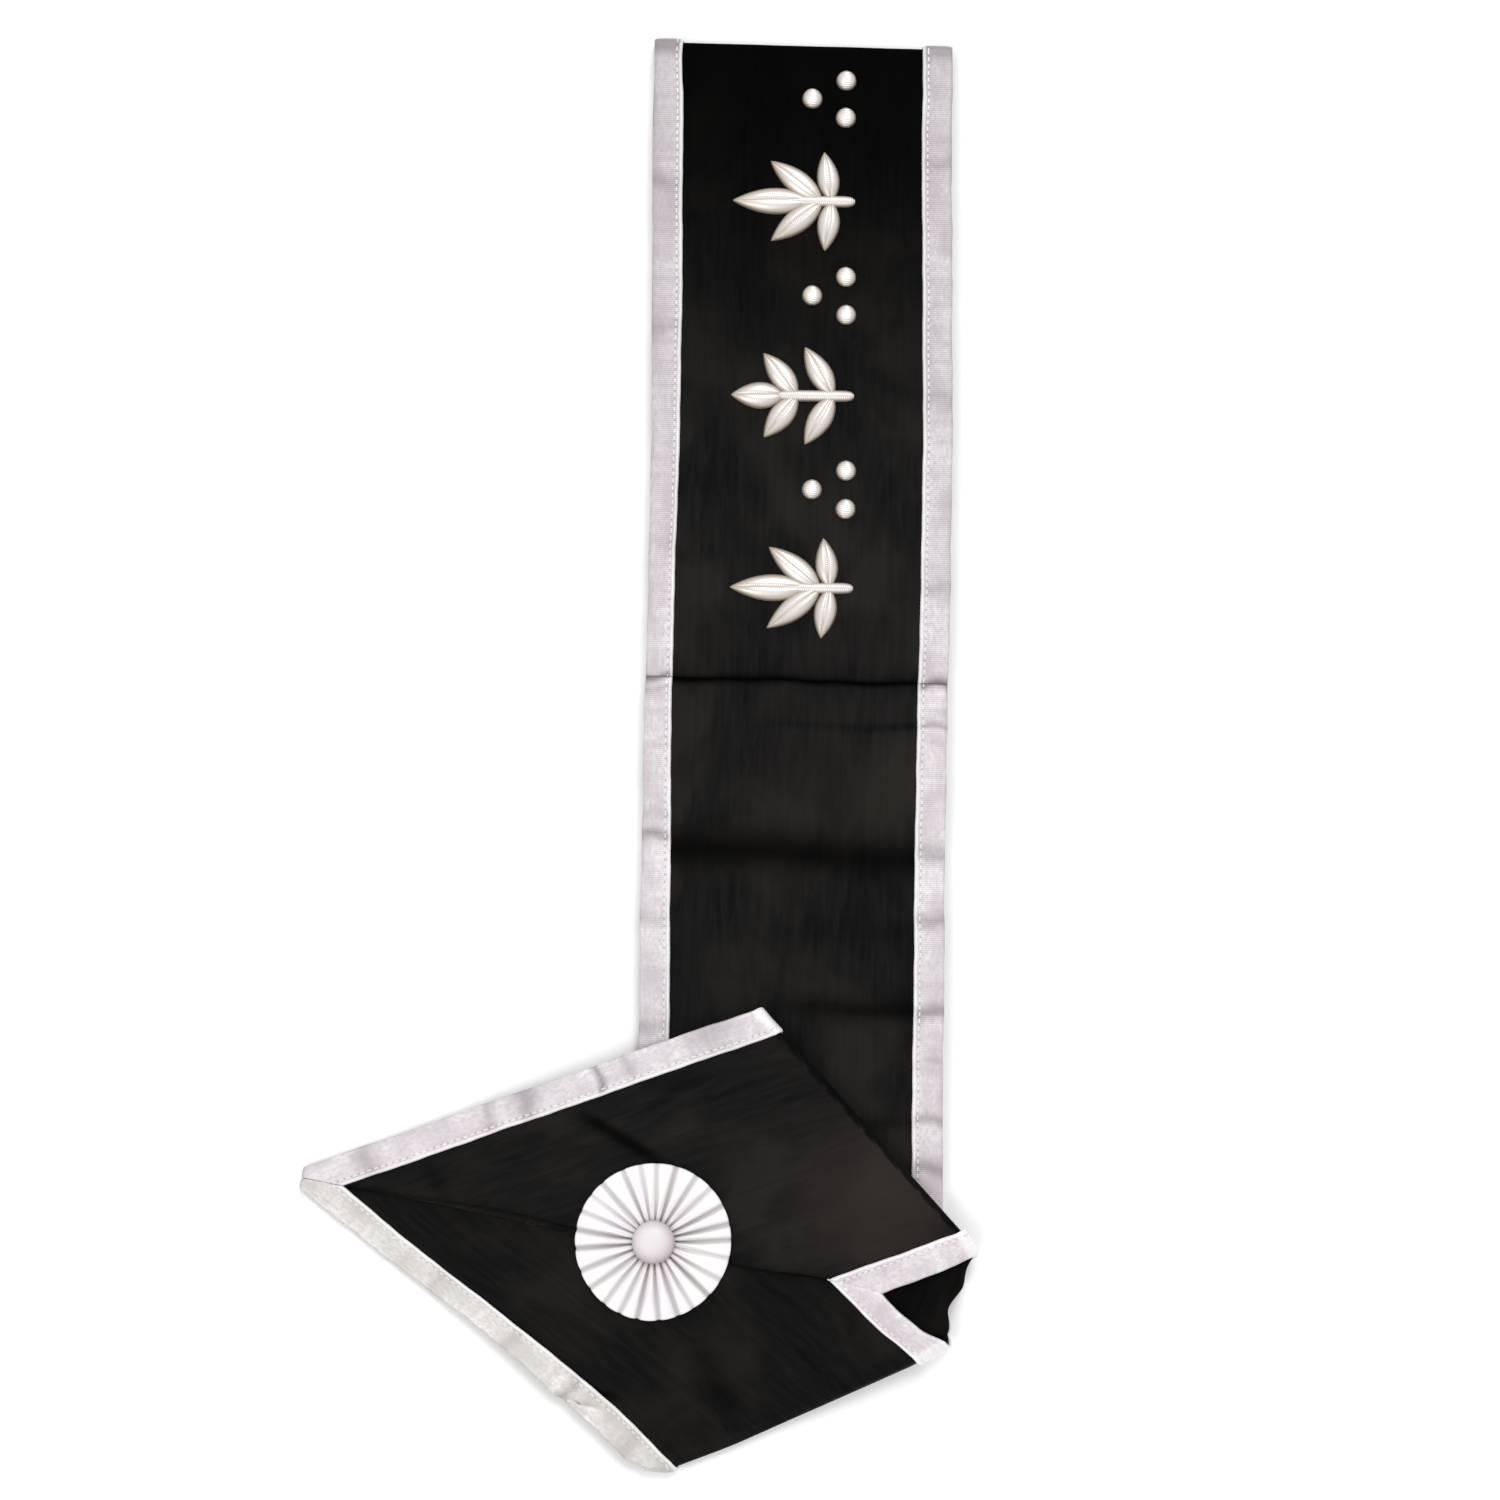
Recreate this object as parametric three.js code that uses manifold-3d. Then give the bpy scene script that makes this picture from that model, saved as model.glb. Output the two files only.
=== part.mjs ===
// Masonic collar of black ribbon with silver borders, folded flat on a surface.
// Millimetres, +Z up. The origin is on the surface, under the middle of the folded collar.
// Each arm is drawn flat, as u along the ribbon and v to its left, then folded at its creases.
// The right and left arms are the wearer's, and the ribbon's face is the side that shows when worn.
import * as THREE from 'three';
import { mergeVertices } from 'three/addons/utils/BufferGeometryUtils.js';
import Module from 'manifold-3d';

// Ribbon and borders
const ribbonWidth = 100;
const ribbonThick = 1.2;
const borderWidth = 10;
const borderThick = 1;
const gap = 0.3;
const backGap = 0.6;
const halfWidth = ribbonWidth / 2;
const halfThick = ribbonThick / 2;
const borderLow = halfThick + gap;
const borderHigh = borderLow + borderThick;

// The V: where the two centrelines cross, their directions in degrees, and the blunted point
const mitreCentre = [-18.98, -160.73];
const heading = { right: 19.2, left: -41.3 };
const mitreHalfAngle = THREE.MathUtils.degToRad((heading.right - heading.left) / 2);
const pointBlunting = 6;

// Creases in plan: a point on the fold's outer edge, its angle, and how far the bend reaches out
const neckCrease = { x: 54.92, y: 235.27, angle: -1.6, reach: 1.2 };
const creases = {
  right: [
    { x: 76.32, y: -127.53, angle: -48.1, reach: 1.2 },
    { x: 48.92, y: -185.43, angle: -13.1, reach: 2.05 },
    neckCrease,
  ],
  left: [
    { x: 49.42, y: -221.03, angle: 24, reach: 1.6 },
    neckCrease,
  ],
};

// Middle of the ribbon above the surface, in each layer of the folded stack
const level = {
  point: halfThick,
  leftReturn: borderHigh,
  rightReturn: borderHigh + ribbonThick + backGap,
};
level.overLeftReturn = level.leftReturn + ribbonThick + 0.8;
level.overRightReturn = level.rightReturn + borderHigh + gap + halfThick;
level.rightTurn = level.rightReturn + 2 * borderHigh + gap;
level.overTurn = level.rightTurn + ribbonThick + backGap;

// The V panel lies down beyond the layers under it: how far it stays up, then its slope's length
const drape = {
  return: { keep: 8, run: 80 },
  turn: { keep: 8, run: 38 },
  fold: { keep: 8, run: 42 },
};

// The left arm's outer edge is drawn in towards the V by a pucker
const pucker = { draw: 6.2, run: 55, from: 20, width: 70, fadeFrom: 120, fade: 140 };

// Past its fold, the left arm slides over by this much to lie under the right arm
const returnSlide = { slide: -1.2, run: 60 };

// Places that are rolled in or drawn aside: place in plan, how far they move, and over what radius
const rolledCorners = [
  { x: 46, y: -89.3, dx: -1.2, dy: -0.4, radius: 14 },
  { x: 113, y: -176.3, dx: -4.6, dy: 0.2, radius: 18 },
  { x: 102, y: -199.3, dx: 0.6, dy: 2.8, radius: 14 },
  { x: 4.5, y: -242.3, dx: -0.4, dy: 4.4, radius: 12 },
  { x: 8, y: -240, dx: -3, dy: 0.3, radius: 30 },
  { x: 56, y: 90, dx: 1.6, dy: 0, radius: 130 },
];

// Arches of the upper layer between its cross creases, by distance from the neck
const arches = [
  { from: 0, to: 213, rise: 1.2, steps: 6 },
  { from: 213, to: 271, rise: 1, steps: 4 },
  { from: 271, to: 321, rise: 0.8, steps: 4 },
  { from: 321, to: 410, rise: 0.8, steps: 4 },
];
const archCover = { clear: 4, run: 25 };

// Trios of dots and motifs on the right arm, by distance from the neck
const dotRadius = 3.35;
const dotHeight = 2.2;
const dotTrios = [
  { name: 'upper', at: 18.8, across: 14.4 },
  { name: 'middle', at: 85.7, across: 14.3 },
  { name: 'lower', at: 151, across: 14.3 },
];
const trioPlaces = [
  { across: 0, along: 6.4 },
  { across: 0, along: -6.4 },
  { across: -11.3, along: 0 },
];
const motifCrown = 2.6;
const stem = { radius: 1.9, length: 26 };
const motifs = [
  { name: 'motif_upper', at: 53.8, across: -2.9, sprig: 'palmette' },
  { name: 'motif_middle', at: 119.6, across: -3.6, sprig: 'branch' },
  { name: 'motif_lower', at: 184, across: -3, sprig: 'palmette' },
];

// Leaves of each motif: base along the stem, angle off the stem, length and width
const leafRows = {
  palmette: [
    { base: 15, angle: 0, length: 26, width: 9 },
    { base: 11, angle: 38, length: 22, width: 8 },
    { base: 11, angle: -38, length: 22, width: 8 },
    { base: 8, angle: 82, length: 17, width: 7.5 },
    { base: 8, angle: -82, length: 17, width: 7.5 },
  ],
  branch: [
    { base: 23, angle: 0, length: 18, width: 9 },
    { base: 19, angle: 52, length: 18, width: 8 },
    { base: 19, angle: -52, length: 18, width: 8 },
    { base: 7, angle: 60, length: 19, width: 8 },
    { base: 7, angle: -60, length: 19, width: 8 },
  ],
};
const motifLength = 41;

// Rosette on the mitre seam
const rosette = { x: 5.2, y: -162.9, radius: 25.2, pleats: 25, ridge: 3, valleyDrop: 1.3, seat: 6 };
const rosetteLow = halfThick + 0.65;
const button = { radius: 7, height: 5.2 };

const wasm = await Module();
wasm.setup();

const radians = THREE.MathUtils.degToRad;
const smooth = (t) => THREE.MathUtils.smoothstep(t, 0, 1);
const bump = (t) => (t > 0 && t < 1 ? 4 * t * (1 - t) : 0);
const direction = (degrees) => [Math.cos(radians(degrees)), Math.sin(radians(degrees))];
const cross = (a, b) => a[0] * b[1] - a[1] * b[0];
const step = (point, way, distance) => [point[0] + way[0] * distance, point[1] + way[1] * distance];
const between = (a, b) => [b[0] - a[0], b[1] - a[1]];

// How far a flat point lies past the line where a fold's bend begins
const past = (fold, u, v) => (u - fold.at) * fold.along[0] + v * fold.along[1];

// Plan place of a flat point that lies after the given number of folds
function unfolded(arm, point, folds) {
  let flat = point;
  for (const fold of arm.folds.slice(0, folds).reverse()) {
    flat = step(flat, fold.along, fold.length - 2 * past(fold, flat[0], flat[1]));
  }
  const [cos, sin] = direction(arm.heading);
  return [
    mitreCentre[0] + flat[0] * cos - flat[1] * sin,
    mitreCentre[1] + flat[0] * sin + flat[1] * cos,
  ];
}

// Turns the creases in plan into folds of the flat ribbon
function layOut(name) {
  const arm = { name, heading: heading[name], folds: [] };
  let from = 0;
  let panelHeading = arm.heading;
  let side = 1;
  for (const { x, y, angle, reach } of creases[name]) {
    const flatAngle = radians(side * (angle - panelHeading));
    const sign = Math.sign(Math.sin(flatAngle));
    const along = [Math.sin(flatAngle) * sign, -Math.cos(flatAngle) * sign];
    const start = unfolded(arm, [from, 0], arm.folds.length);
    const way = direction(panelHeading);
    const line = direction(angle);
    const edge = cross(between(start, [x, y]), line) / cross(way, line);
    const at = from + edge - (reach + halfThick) / along[0];
    const fold = { at, along, reach, length: Math.PI * reach };
    arm.folds.push(fold);
    from = at + fold.length / along[0];
    panelHeading = 2 * angle - panelHeading;
    side = -side;
  }
  return arm;
}
const rightArm = layOut('right');
const leftArm = layOut('left');
const neckOf = (arm) => arm.folds[arm.folds.length - 1];

// Distance of a plan point to the left of the line through two flat points of one panel
function leftOf(arm, first, second, folds) {
  const a = unfolded(arm, first, folds);
  const b = unfolded(arm, second, folds);
  const way = between(a, b);
  const length = Math.hypot(...way);
  return (x, y) => cross(way, between(a, [x, y])) / length;
}
const creaseU = (fold, beyond, v) => fold.at + (beyond - v * fold.along[1]) / fold.along[0];
const [overFold, underFold, neckFold] = rightArm.folds;
const leftOfReturn = leftOf(rightArm, [neckFold.at - 300, halfWidth], [neckFold.at, halfWidth], 2);
const insideTurn = leftOf(rightArm, [underFold.at - 40, halfWidth], [underFold.at, halfWidth], 1);
const southOfFold = leftOf(
  rightArm,
  [creaseU(underFold, 0, -halfWidth), -halfWidth],
  [creaseU(underFold, 0, halfWidth), halfWidth],
  1,
);
const aboveV = leftOf(rightArm, [0, halfWidth], [50, halfWidth], 0);
const rightOfV = leftOf(
  rightArm,
  [creaseU(overFold, 0, halfWidth), halfWidth],
  [creaseU(overFold, 0, -halfWidth), -halfWidth],
  0,
);

// Height of the V panel's middle above the surface
const stays = (distance, { keep, run }) => 1 - smooth((distance - keep) / run);
function panelLevel(x, y) {
  const overReturn = stays(leftOfReturn(x, y), drape.return);
  const overFoldLine = stays(southOfFold(x, y), drape.fold);
  const overTurn = stays(-insideTurn(x, y), drape.turn) * overFoldLine;
  return (
    level.point +
    (level.overLeftReturn - level.point) * overReturn +
    (level.overRightReturn - level.overLeftReturn) * overReturn * overFoldLine +
    (level.overTurn - level.overRightReturn) * overTurn
  );
}

// Height of the upper layer's middle, arched between its cross creases where the V leaves it bare
function rightReturnLevel(x, y, u, v) {
  const distance = -past(neckFold, u, v);
  const uncovered = Math.max(aboveV(x, y), rightOfV(x, y));
  const bare = smooth((uncovered - archCover.clear) / archCover.run);
  const arch = arches.reduce(
    (sum, { from, to, rise }) => sum + rise * bump((distance - from) / (to - from)),
    0,
  );
  return level.rightReturn + arch * bare;
}
const levels = {
  right: [panelLevel, () => level.rightTurn, rightReturnLevel, () => level.leftReturn],
  left: [panelLevel, () => level.leftReturn, () => level.rightReturn],
};

// Sideways pull of the left arm's pucker, and of its slide past the fold, at a flat point
function puckerAt(arm, u, v) {
  if (arm !== leftArm) return 0;
  const fromMitre = u * Math.sin(mitreHalfAngle) - v * Math.cos(mitreHalfAngle);
  const build = smooth(fromMitre / pucker.run);
  const across = smooth((pucker.from - v) / pucker.width);
  const fade = 1 - smooth((u - pucker.fadeFrom) / pucker.fade);
  const [fold] = leftArm.folds;
  const slid = smooth((past(fold, u, v) - fold.length) / returnSlide.run);
  return pucker.draw * build * across * fade + returnSlide.slide * slid;
}

// Moves a plan point with the rolled corners near it
function rolled([x, y]) {
  return rolledCorners.reduce((point, corner) => {
    const near = smooth(1 - Math.hypot(x - corner.x, y - corner.y) / corner.radius);
    return step(point, [corner.dx, corner.dy], near);
  }, [x, y]);
}

// Point of an arm's middle surface for a flat point
function middle(arm, u, flatV) {
  const v = flatV + puckerAt(arm, u, flatV);
  const index = arm.folds.findIndex((fold) => past(fold, u, v) < fold.length);
  const fold = arm.folds[index];
  const beyond = Math.max(past(fold, u, v), 0);
  const turn = (Math.PI * beyond) / fold.length;
  const foot = step([u, v], fold.along, -beyond);
  const place = rolled(unfolded(arm, step(foot, fold.along, fold.reach * Math.sin(turn)), index));
  const [x, y] = unfolded(arm, foot, index);
  const before = levels[arm.name][index](x, y, ...foot);
  const after = levels[arm.name][index + 1](x, y, ...foot);
  const z = (before + after) / 2 + ((before - after) / 2) * Math.cos(turn);
  return new THREE.Vector3(place[0], place[1], z);
}

// Point at a height over the face of an arm
const probe = 0.02;
function onArm(arm, u, v, height) {
  const alongU = middle(arm, u + probe, v).sub(middle(arm, u - probe, v));
  const alongV = middle(arm, u, v + probe).sub(middle(arm, u, v - probe));
  return middle(arm, u, v).addScaledVector(alongU.cross(alongV).normalize(), height);
}

// Point at a height over the V panel, for what is sewn across both arms
function onPanel(x, y, height) {
  const slopeX = (panelLevel(x + probe, y) - panelLevel(x - probe, y)) / (2 * probe);
  const slopeY = (panelLevel(x, y + probe) - panelLevel(x, y - probe)) / (2 * probe);
  const normal = new THREE.Vector3(-slopeX, -slopeY, 1).normalize();
  return new THREE.Vector3(x, y, panelLevel(x, y)).addScaledVector(normal, height);
}

// Station line along the mitre seam, cut square to the seam at the blunted point
function mitreLine(arm) {
  const outer = arm === rightArm ? 1 : -1;
  const cot = 1 / Math.tan(mitreHalfAngle);
  return (v) => {
    const fromPoint = halfWidth - v * outer;
    const seam = fromPoint * cot + gap / 2 / Math.sin(mitreHalfAngle);
    const cut = pointBlunting / Math.cos(mitreHalfAngle) - fromPoint * Math.tan(mitreHalfAngle);
    return Math.max(seam, cut) - halfWidth * cot;
  };
}

// Station line at a distance past the start of a fold's bend
const foldLine = (arm, fold, beyond) => (v) => {
  const pulled = v + puckerAt(arm, creaseU(fold, beyond, v), v);
  return creaseU(fold, beyond, pulled);
};

// Lines that cross an arm from the mitre to the neck, with steps evened out between them
function stationsOf(arm, rows) {
  const stations = [];
  rows.slice(0, -1).forEach(({ line, steps }, index) => {
    const next = rows[index + 1].line;
    for (let i = 0; i < steps; i += 1) {
      stations.push((v) => THREE.MathUtils.lerp(line(v), next(v), i / steps));
    }
  });
  stations.push(rows[rows.length - 1].line);
  return stations;
}
const bendSteps = 6;
const bendRows = (arm, fold, steps) => [
  { line: foldLine(arm, fold, 0), steps: bendSteps },
  { line: foldLine(arm, fold, fold.length), steps },
];
const neckRows = (arm) => [
  { line: foldLine(arm, neckOf(arm), 0), steps: bendSteps / 2 },
  { line: foldLine(arm, neckOf(arm), (neckOf(arm).length - gap) / 2) },
];
const archRows = [...arches]
  .reverse()
  .map(({ to, steps }) => ({ line: foldLine(rightArm, neckFold, -to), steps }));
const stations = {
  right: stationsOf(rightArm, [
    { line: mitreLine(rightArm), steps: 16 },
    ...bendRows(rightArm, overFold, 5),
    ...bendRows(rightArm, underFold, 3),
    ...archRows,
    ...neckRows(rightArm),
  ]),
  left: stationsOf(leftArm, [
    { line: mitreLine(leftArm), steps: 16 },
    ...bendRows(leftArm, leftArm.folds[0], 6),
    ...neckRows(leftArm),
  ]),
};

// Closed slab over part of an arm's width, between two heights over its middle surface
function slab(arm, rows, low, high) {
  const lines = stations[arm.name];
  const positions = [low, high].flatMap((height) =>
    lines.flatMap((line) => rows.flatMap((v) => onArm(arm, line(v), v, height).toArray())),
  );
  const vertex = (layer, i, j) => (layer * lines.length + i) * rows.length + j;
  const triangles = [];
  const quad = (a, b, c, d) => triangles.push(a, b, c, a, c, d);
  const lastLine = lines.length - 1;
  const lastRow = rows.length - 1;
  for (let i = 0; i < lastLine; i += 1) {
    for (let j = 0; j < lastRow; j += 1) {
      quad(vertex(1, i, j), vertex(1, i + 1, j), vertex(1, i + 1, j + 1), vertex(1, i, j + 1));
      quad(vertex(0, i, j), vertex(0, i, j + 1), vertex(0, i + 1, j + 1), vertex(0, i + 1, j));
    }
    quad(vertex(0, i, 0), vertex(0, i + 1, 0), vertex(1, i + 1, 0), vertex(1, i, 0));
    quad(
      vertex(0, i + 1, lastRow),
      vertex(0, i, lastRow),
      vertex(1, i, lastRow),
      vertex(1, i + 1, lastRow),
    );
  }
  for (let j = 0; j < lastRow; j += 1) {
    quad(vertex(0, 0, j + 1), vertex(0, 0, j), vertex(1, 0, j), vertex(1, 0, j + 1));
    quad(
      vertex(0, lastLine, j),
      vertex(0, lastLine, j + 1),
      vertex(1, lastLine, j + 1),
      vertex(1, lastLine, j),
    );
  }
  const geometry = new THREE.BufferGeometry();
  geometry.setAttribute('position', new THREE.Float32BufferAttribute(positions, 3));
  geometry.setIndex(triangles);
  geometry.computeVertexNormals();
  return geometry;
}

// Closed geometry with only shared positions left
function welded(geometry) {
  geometry.deleteAttribute('normal');
  geometry.deleteAttribute('uv');
  return mergeVertices(geometry, 1e-4);
}

// Moves every vertex of a geometry by a function of its place
function mapped(geometry, place) {
  const positions = geometry.getAttribute('position');
  for (let i = 0; i < positions.count; i += 1) {
    const point = place(positions.getX(i), positions.getY(i), positions.getZ(i));
    positions.setXYZ(i, ...point.toArray());
  }
  geometry.computeVertexNormals();
  return geometry;
}

// Place over the right arm's bare stretch: x to the wearer's left, y towards the neck
const onReturn = (at, across) => (x, y, z) => {
  const apex = creaseU(neckFold, neckFold.length / 2, 0);
  return onArm(rightArm, apex - at + y, -across - x, borderLow + z);
};

function toManifold(geometry) {
  const closed = welded(geometry);
  return new wasm.Manifold(
    new wasm.Mesh({
      numProp: 3,
      vertProperties: new Float32Array(closed.getAttribute('position').array),
      triVerts: new Uint32Array(closed.index.array),
    }),
  );
}

function toGeometry(manifold) {
  const mesh = manifold.getMesh();
  const geometry = new THREE.BufferGeometry();
  geometry.setAttribute('position', new THREE.BufferAttribute(mesh.vertProperties, 3));
  geometry.setIndex(new THREE.BufferAttribute(mesh.triVerts, 1));
  return geometry;
}

// Pointed padded leaf along +Y, one long and one wide, before it is scaled
function leaf({ base, angle, length, width }) {
  const profile = [
    [0, 0],
    [0.6, 0.16],
    [1, 0.45],
    [0.72, 0.78],
    [0, 1],
  ].map(([radius, along]) => new THREE.Vector2(radius, along));
  const geometry = new THREE.LatheGeometry(profile, 8);
  geometry.scale(width / 2, length, motifCrown);
  geometry.rotateZ(radians(angle));
  geometry.translate(0, base, 0);
  return geometry;
}

// Raised leaf motif across the ribbon, with its stem's foot towards the wearer's left
function motif({ at, across, sprig }) {
  const stalk = new THREE.CylinderGeometry(stem.radius, stem.radius, stem.length, 8);
  stalk.translate(0, stem.length / 2, 0);
  const below = new THREE.BoxGeometry(3 * motifLength, 3 * motifLength, 2 * motifLength);
  below.translate(0, 0, -motifLength);
  const solid = leafRows[sprig]
    .map((row) => toManifold(leaf(row)))
    .reduce((sum, part) => sum.add(part), toManifold(stalk))
    .subtract(toManifold(below));
  const geometry = toGeometry(solid);
  geometry.translate(0, -motifLength / 2, 0);
  geometry.rotateZ(Math.PI / 2);
  return mapped(geometry, onReturn(at, across));
}

// Domed dot of the trios
function dot(at, across) {
  const profile = [
    [0, 0],
    [dotRadius, 0],
    [dotRadius * 0.82, dotHeight * 0.62],
    [0, dotHeight],
  ].map(([radius, height]) => new THREE.Vector2(radius, height));
  const geometry = welded(new THREE.LatheGeometry(profile, 10)).rotateX(Math.PI / 2);
  return mapped(geometry, onReturn(at, across));
}

// Pleated disc: every second spoke of the turned disc sinks into a valley
function rosettePleats() {
  const { radius, pleats, ridge, valleyDrop, seat } = rosette;
  const seatHeight = ridge - valleyDrop;
  const profile = [
    [0, 0],
    [radius, 0],
    [radius, ridge * 0.8],
    [radius * 0.9, ridge],
    [seat + 2, ridge],
    [seat, seatHeight],
    [0, seatHeight],
  ].map(([r, height]) => new THREE.Vector2(r, height));
  const spokes = 2 * pleats;
  const geometry = welded(new THREE.LatheGeometry(profile, spokes)).rotateX(Math.PI / 2);
  return mapped(geometry, (x, y, z) => {
    const spoke = Math.round((Math.atan2(y, x) / (2 * Math.PI)) * spokes);
    const sinks = spoke % 2 !== 0 && z > seatHeight;
    const height = sinks ? z - valleyDrop : z;
    return onPanel(rosette.x + x, rosette.y + y, rosetteLow + height);
  });
}

// Domed button over the rosette's middle
function rosetteButton() {
  const low = rosetteLow + rosette.ridge - rosette.valleyDrop + gap;
  const inner = rosette.seat - gap;
  const rim = rosette.valleyDrop + gap;
  const profile = [
    [0, 0],
    [inner, 0],
    [inner, rim],
    [button.radius, rim + 0.3],
    [button.radius * 0.9, button.height * 0.62],
    [button.radius * 0.55, button.height * 0.92],
    [0, button.height],
  ].map(([r, height]) => new THREE.Vector2(r, height));
  const geometry = welded(new THREE.LatheGeometry(profile, 16)).rotateX(Math.PI / 2);
  return mapped(geometry, (x, y, z) => onPanel(rosette.x + x, rosette.y + y, low + z));
}

const materials = {
  blackRibbon: new THREE.MeshStandardMaterial({ color: 0x16151a, roughness: 0.6 }),
  silverBorder: new THREE.MeshStandardMaterial({ color: 0xcfc8d2, roughness: 0.45 }),
  bullion: new THREE.MeshStandardMaterial({ color: 0xd9cfc0, roughness: 0.35, metalness: 0.6 }),
  whiteSatin: new THREE.MeshStandardMaterial({ color: 0xf1eef2, roughness: 0.35 }),
};

const collar = new THREE.Group();
collar.name = 'masonic_collar';
function add(name, geometry, material) {
  const mesh = new THREE.Mesh(geometry, material);
  mesh.name = name;
  collar.add(mesh);
}

// Rows across the ribbon, with one where the blunted point leaves the seam
const bluntRow = halfWidth - pointBlunting * Math.tan(mitreHalfAngle) + 0.5;
const innerRow = halfWidth - borderWidth;
const ribbonRows = [-halfWidth, -innerRow, -30, -20, -10, 0, 10, 20, 30, innerRow, bluntRow, halfWidth];
const outerRows = [innerRow, bluntRow, halfWidth];
const innerRows = [-halfWidth, -innerRow];
const mirrored = (rows) => rows.map((v) => -v).reverse();

add('ribbon_right_arm', slab(rightArm, ribbonRows, -halfThick, halfThick), materials.blackRibbon);
add('ribbon_left_arm', slab(leftArm, mirrored(ribbonRows), -halfThick, halfThick), materials.blackRibbon);
for (const [arm, side] of [[rightArm, (rows) => rows], [leftArm, mirrored]]) {
  const outer = slab(arm, side(outerRows), borderLow, borderHigh);
  const inner = slab(arm, side(innerRows), borderLow, borderHigh);
  add(`outer_border_${arm.name}_arm`, outer, materials.silverBorder);
  add(`inner_border_${arm.name}_arm`, inner, materials.silverBorder);
}
for (const row of motifs) {
  add(row.name, motif(row), materials.bullion);
}
for (const trio of dotTrios) {
  trioPlaces.forEach(({ across, along }, index) => {
    const geometry = dot(trio.at - along, trio.across + across);
    add(`dot_${trio.name}_${index + 1}`, geometry, materials.bullion);
  });
}
add('rosette_pleats', rosettePleats(), materials.whiteSatin);
add('rosette_button', rosetteButton(), materials.whiteSatin);

export default collar;
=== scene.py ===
# Masonic collar: black moire ribbon arms with silver borders, folded flat on a pale floor.
# Shapes are worked out in millimetres, in the frame's axes, and scaled to metres as they are made.
# Each arm is drawn flat, as u along the ribbon and v to its left, then folded at its creases.
# The right and left arms are the wearer's, and the ribbon's face is the side that shows when worn.
import math
from types import SimpleNamespace

import bpy
import numpy as np
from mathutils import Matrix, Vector


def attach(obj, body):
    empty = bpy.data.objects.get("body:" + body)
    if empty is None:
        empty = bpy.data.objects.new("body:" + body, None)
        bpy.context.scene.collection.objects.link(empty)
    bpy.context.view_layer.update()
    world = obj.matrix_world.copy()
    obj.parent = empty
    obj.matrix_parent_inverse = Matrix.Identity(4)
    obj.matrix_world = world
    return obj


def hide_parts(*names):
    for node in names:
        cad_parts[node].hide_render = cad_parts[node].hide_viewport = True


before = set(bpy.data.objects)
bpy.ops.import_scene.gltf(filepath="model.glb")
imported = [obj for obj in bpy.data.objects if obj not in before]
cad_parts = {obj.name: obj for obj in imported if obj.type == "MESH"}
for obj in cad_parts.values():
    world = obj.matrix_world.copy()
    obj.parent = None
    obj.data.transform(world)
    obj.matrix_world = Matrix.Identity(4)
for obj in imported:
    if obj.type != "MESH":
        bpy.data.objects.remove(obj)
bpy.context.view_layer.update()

MM = 0.001

# Ribbon and borders, and the woven edge that shows pale along a border's inner side
WIDTH = 100.0
THICK = 1.2
BORDER_WIDTH = 10.0
BORDER_THICK = 1.0
SELVEDGE = 1.3
# A row of stitches holds each border: its distance from the inner edge, thread width and pitch
STITCH_INSET = 1.9
STITCH_WIDTH = 0.4
STITCH_PITCH = 2.4
# The black cloth stops a little inside the borders that are turned over its edges
CLOTH_INSET = 0.5
# Air under a border as a solid, under layers that lie back to back, over the left arm's return,
# and under a border as it is sewn on, and the gap at the mitre seam and the neck seam
GAP = 0.3
BACK_GAP = 0.6
RETURN_GAP = 0.8
SEWN_GAP = 0.02
SEAM_GAP = 0.06
HALF = WIDTH / 2
HALF_THICK = THICK / 2
BORDER_LOW = HALF_THICK + GAP
BORDER_HIGH = BORDER_LOW + BORDER_THICK
SEWN_LOW = HALF_THICK + SEWN_GAP

# The V: where the centrelines cross, their directions in degrees, and the blunted point
MITRE = (-18.98, -160.73)
HEADING = {"right": 19.2, "left": -41.3}
MITRE_HALF = math.radians((HEADING["right"] - HEADING["left"]) / 2)
POINT_BLUNTING = 6.0

# Creases in plan: a point on the fold's outer edge, its angle, and how far the bend reaches out
NECK_CREASE = dict(x=54.92, y=235.27, angle=-1.6, reach=1.2)
CREASES = {
    "right": [
        dict(x=76.32, y=-127.53, angle=-48.1, reach=1.2),
        dict(x=48.92, y=-185.43, angle=-13.1, reach=2.05),
        NECK_CREASE,
    ],
    "left": [
        dict(x=49.42, y=-221.03, angle=24.0, reach=1.6),
        NECK_CREASE,
    ],
}

# Middle of the ribbon above the floor, in each layer of the folded stack
POINT_LEVEL = HALF_THICK
LEFT_RETURN = BORDER_HIGH
RIGHT_RETURN = BORDER_HIGH + THICK + BACK_GAP
OVER_LEFT_RETURN = LEFT_RETURN + THICK + RETURN_GAP
OVER_RIGHT_RETURN = RIGHT_RETURN + BORDER_HIGH + GAP + HALF_THICK
RIGHT_TURN = RIGHT_RETURN + 2 * BORDER_HIGH + GAP
OVER_TURN = RIGHT_TURN + THICK + BACK_GAP

# The V panel lies down beyond the layers under it: how far it stays up, then its slope's length
DRAPE = {"return": (8, 80), "turn": (8, 38), "fold": (8, 42)}

# The left arm's outer edge is drawn in towards the V by a pucker
PUCKER = dict(draw=6.2, run=55, start=20, width=70, fade_from=120, fade=140)
# Small waves of the ribbon's width: share of the width, wavelength, phase, and each edge's shift
WIDTH_WAVES = [(0.0022, 61, 0.6), (0.0016, 23.7, 2.9), (0.001, 9.3, 1.2)]
WIDTH_WAVE_SHIFT = 2
# Past its fold, the left arm slides over by this much to lie under the right arm
RETURN_SLIDE = dict(slide=-1.2, run=60)

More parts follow.
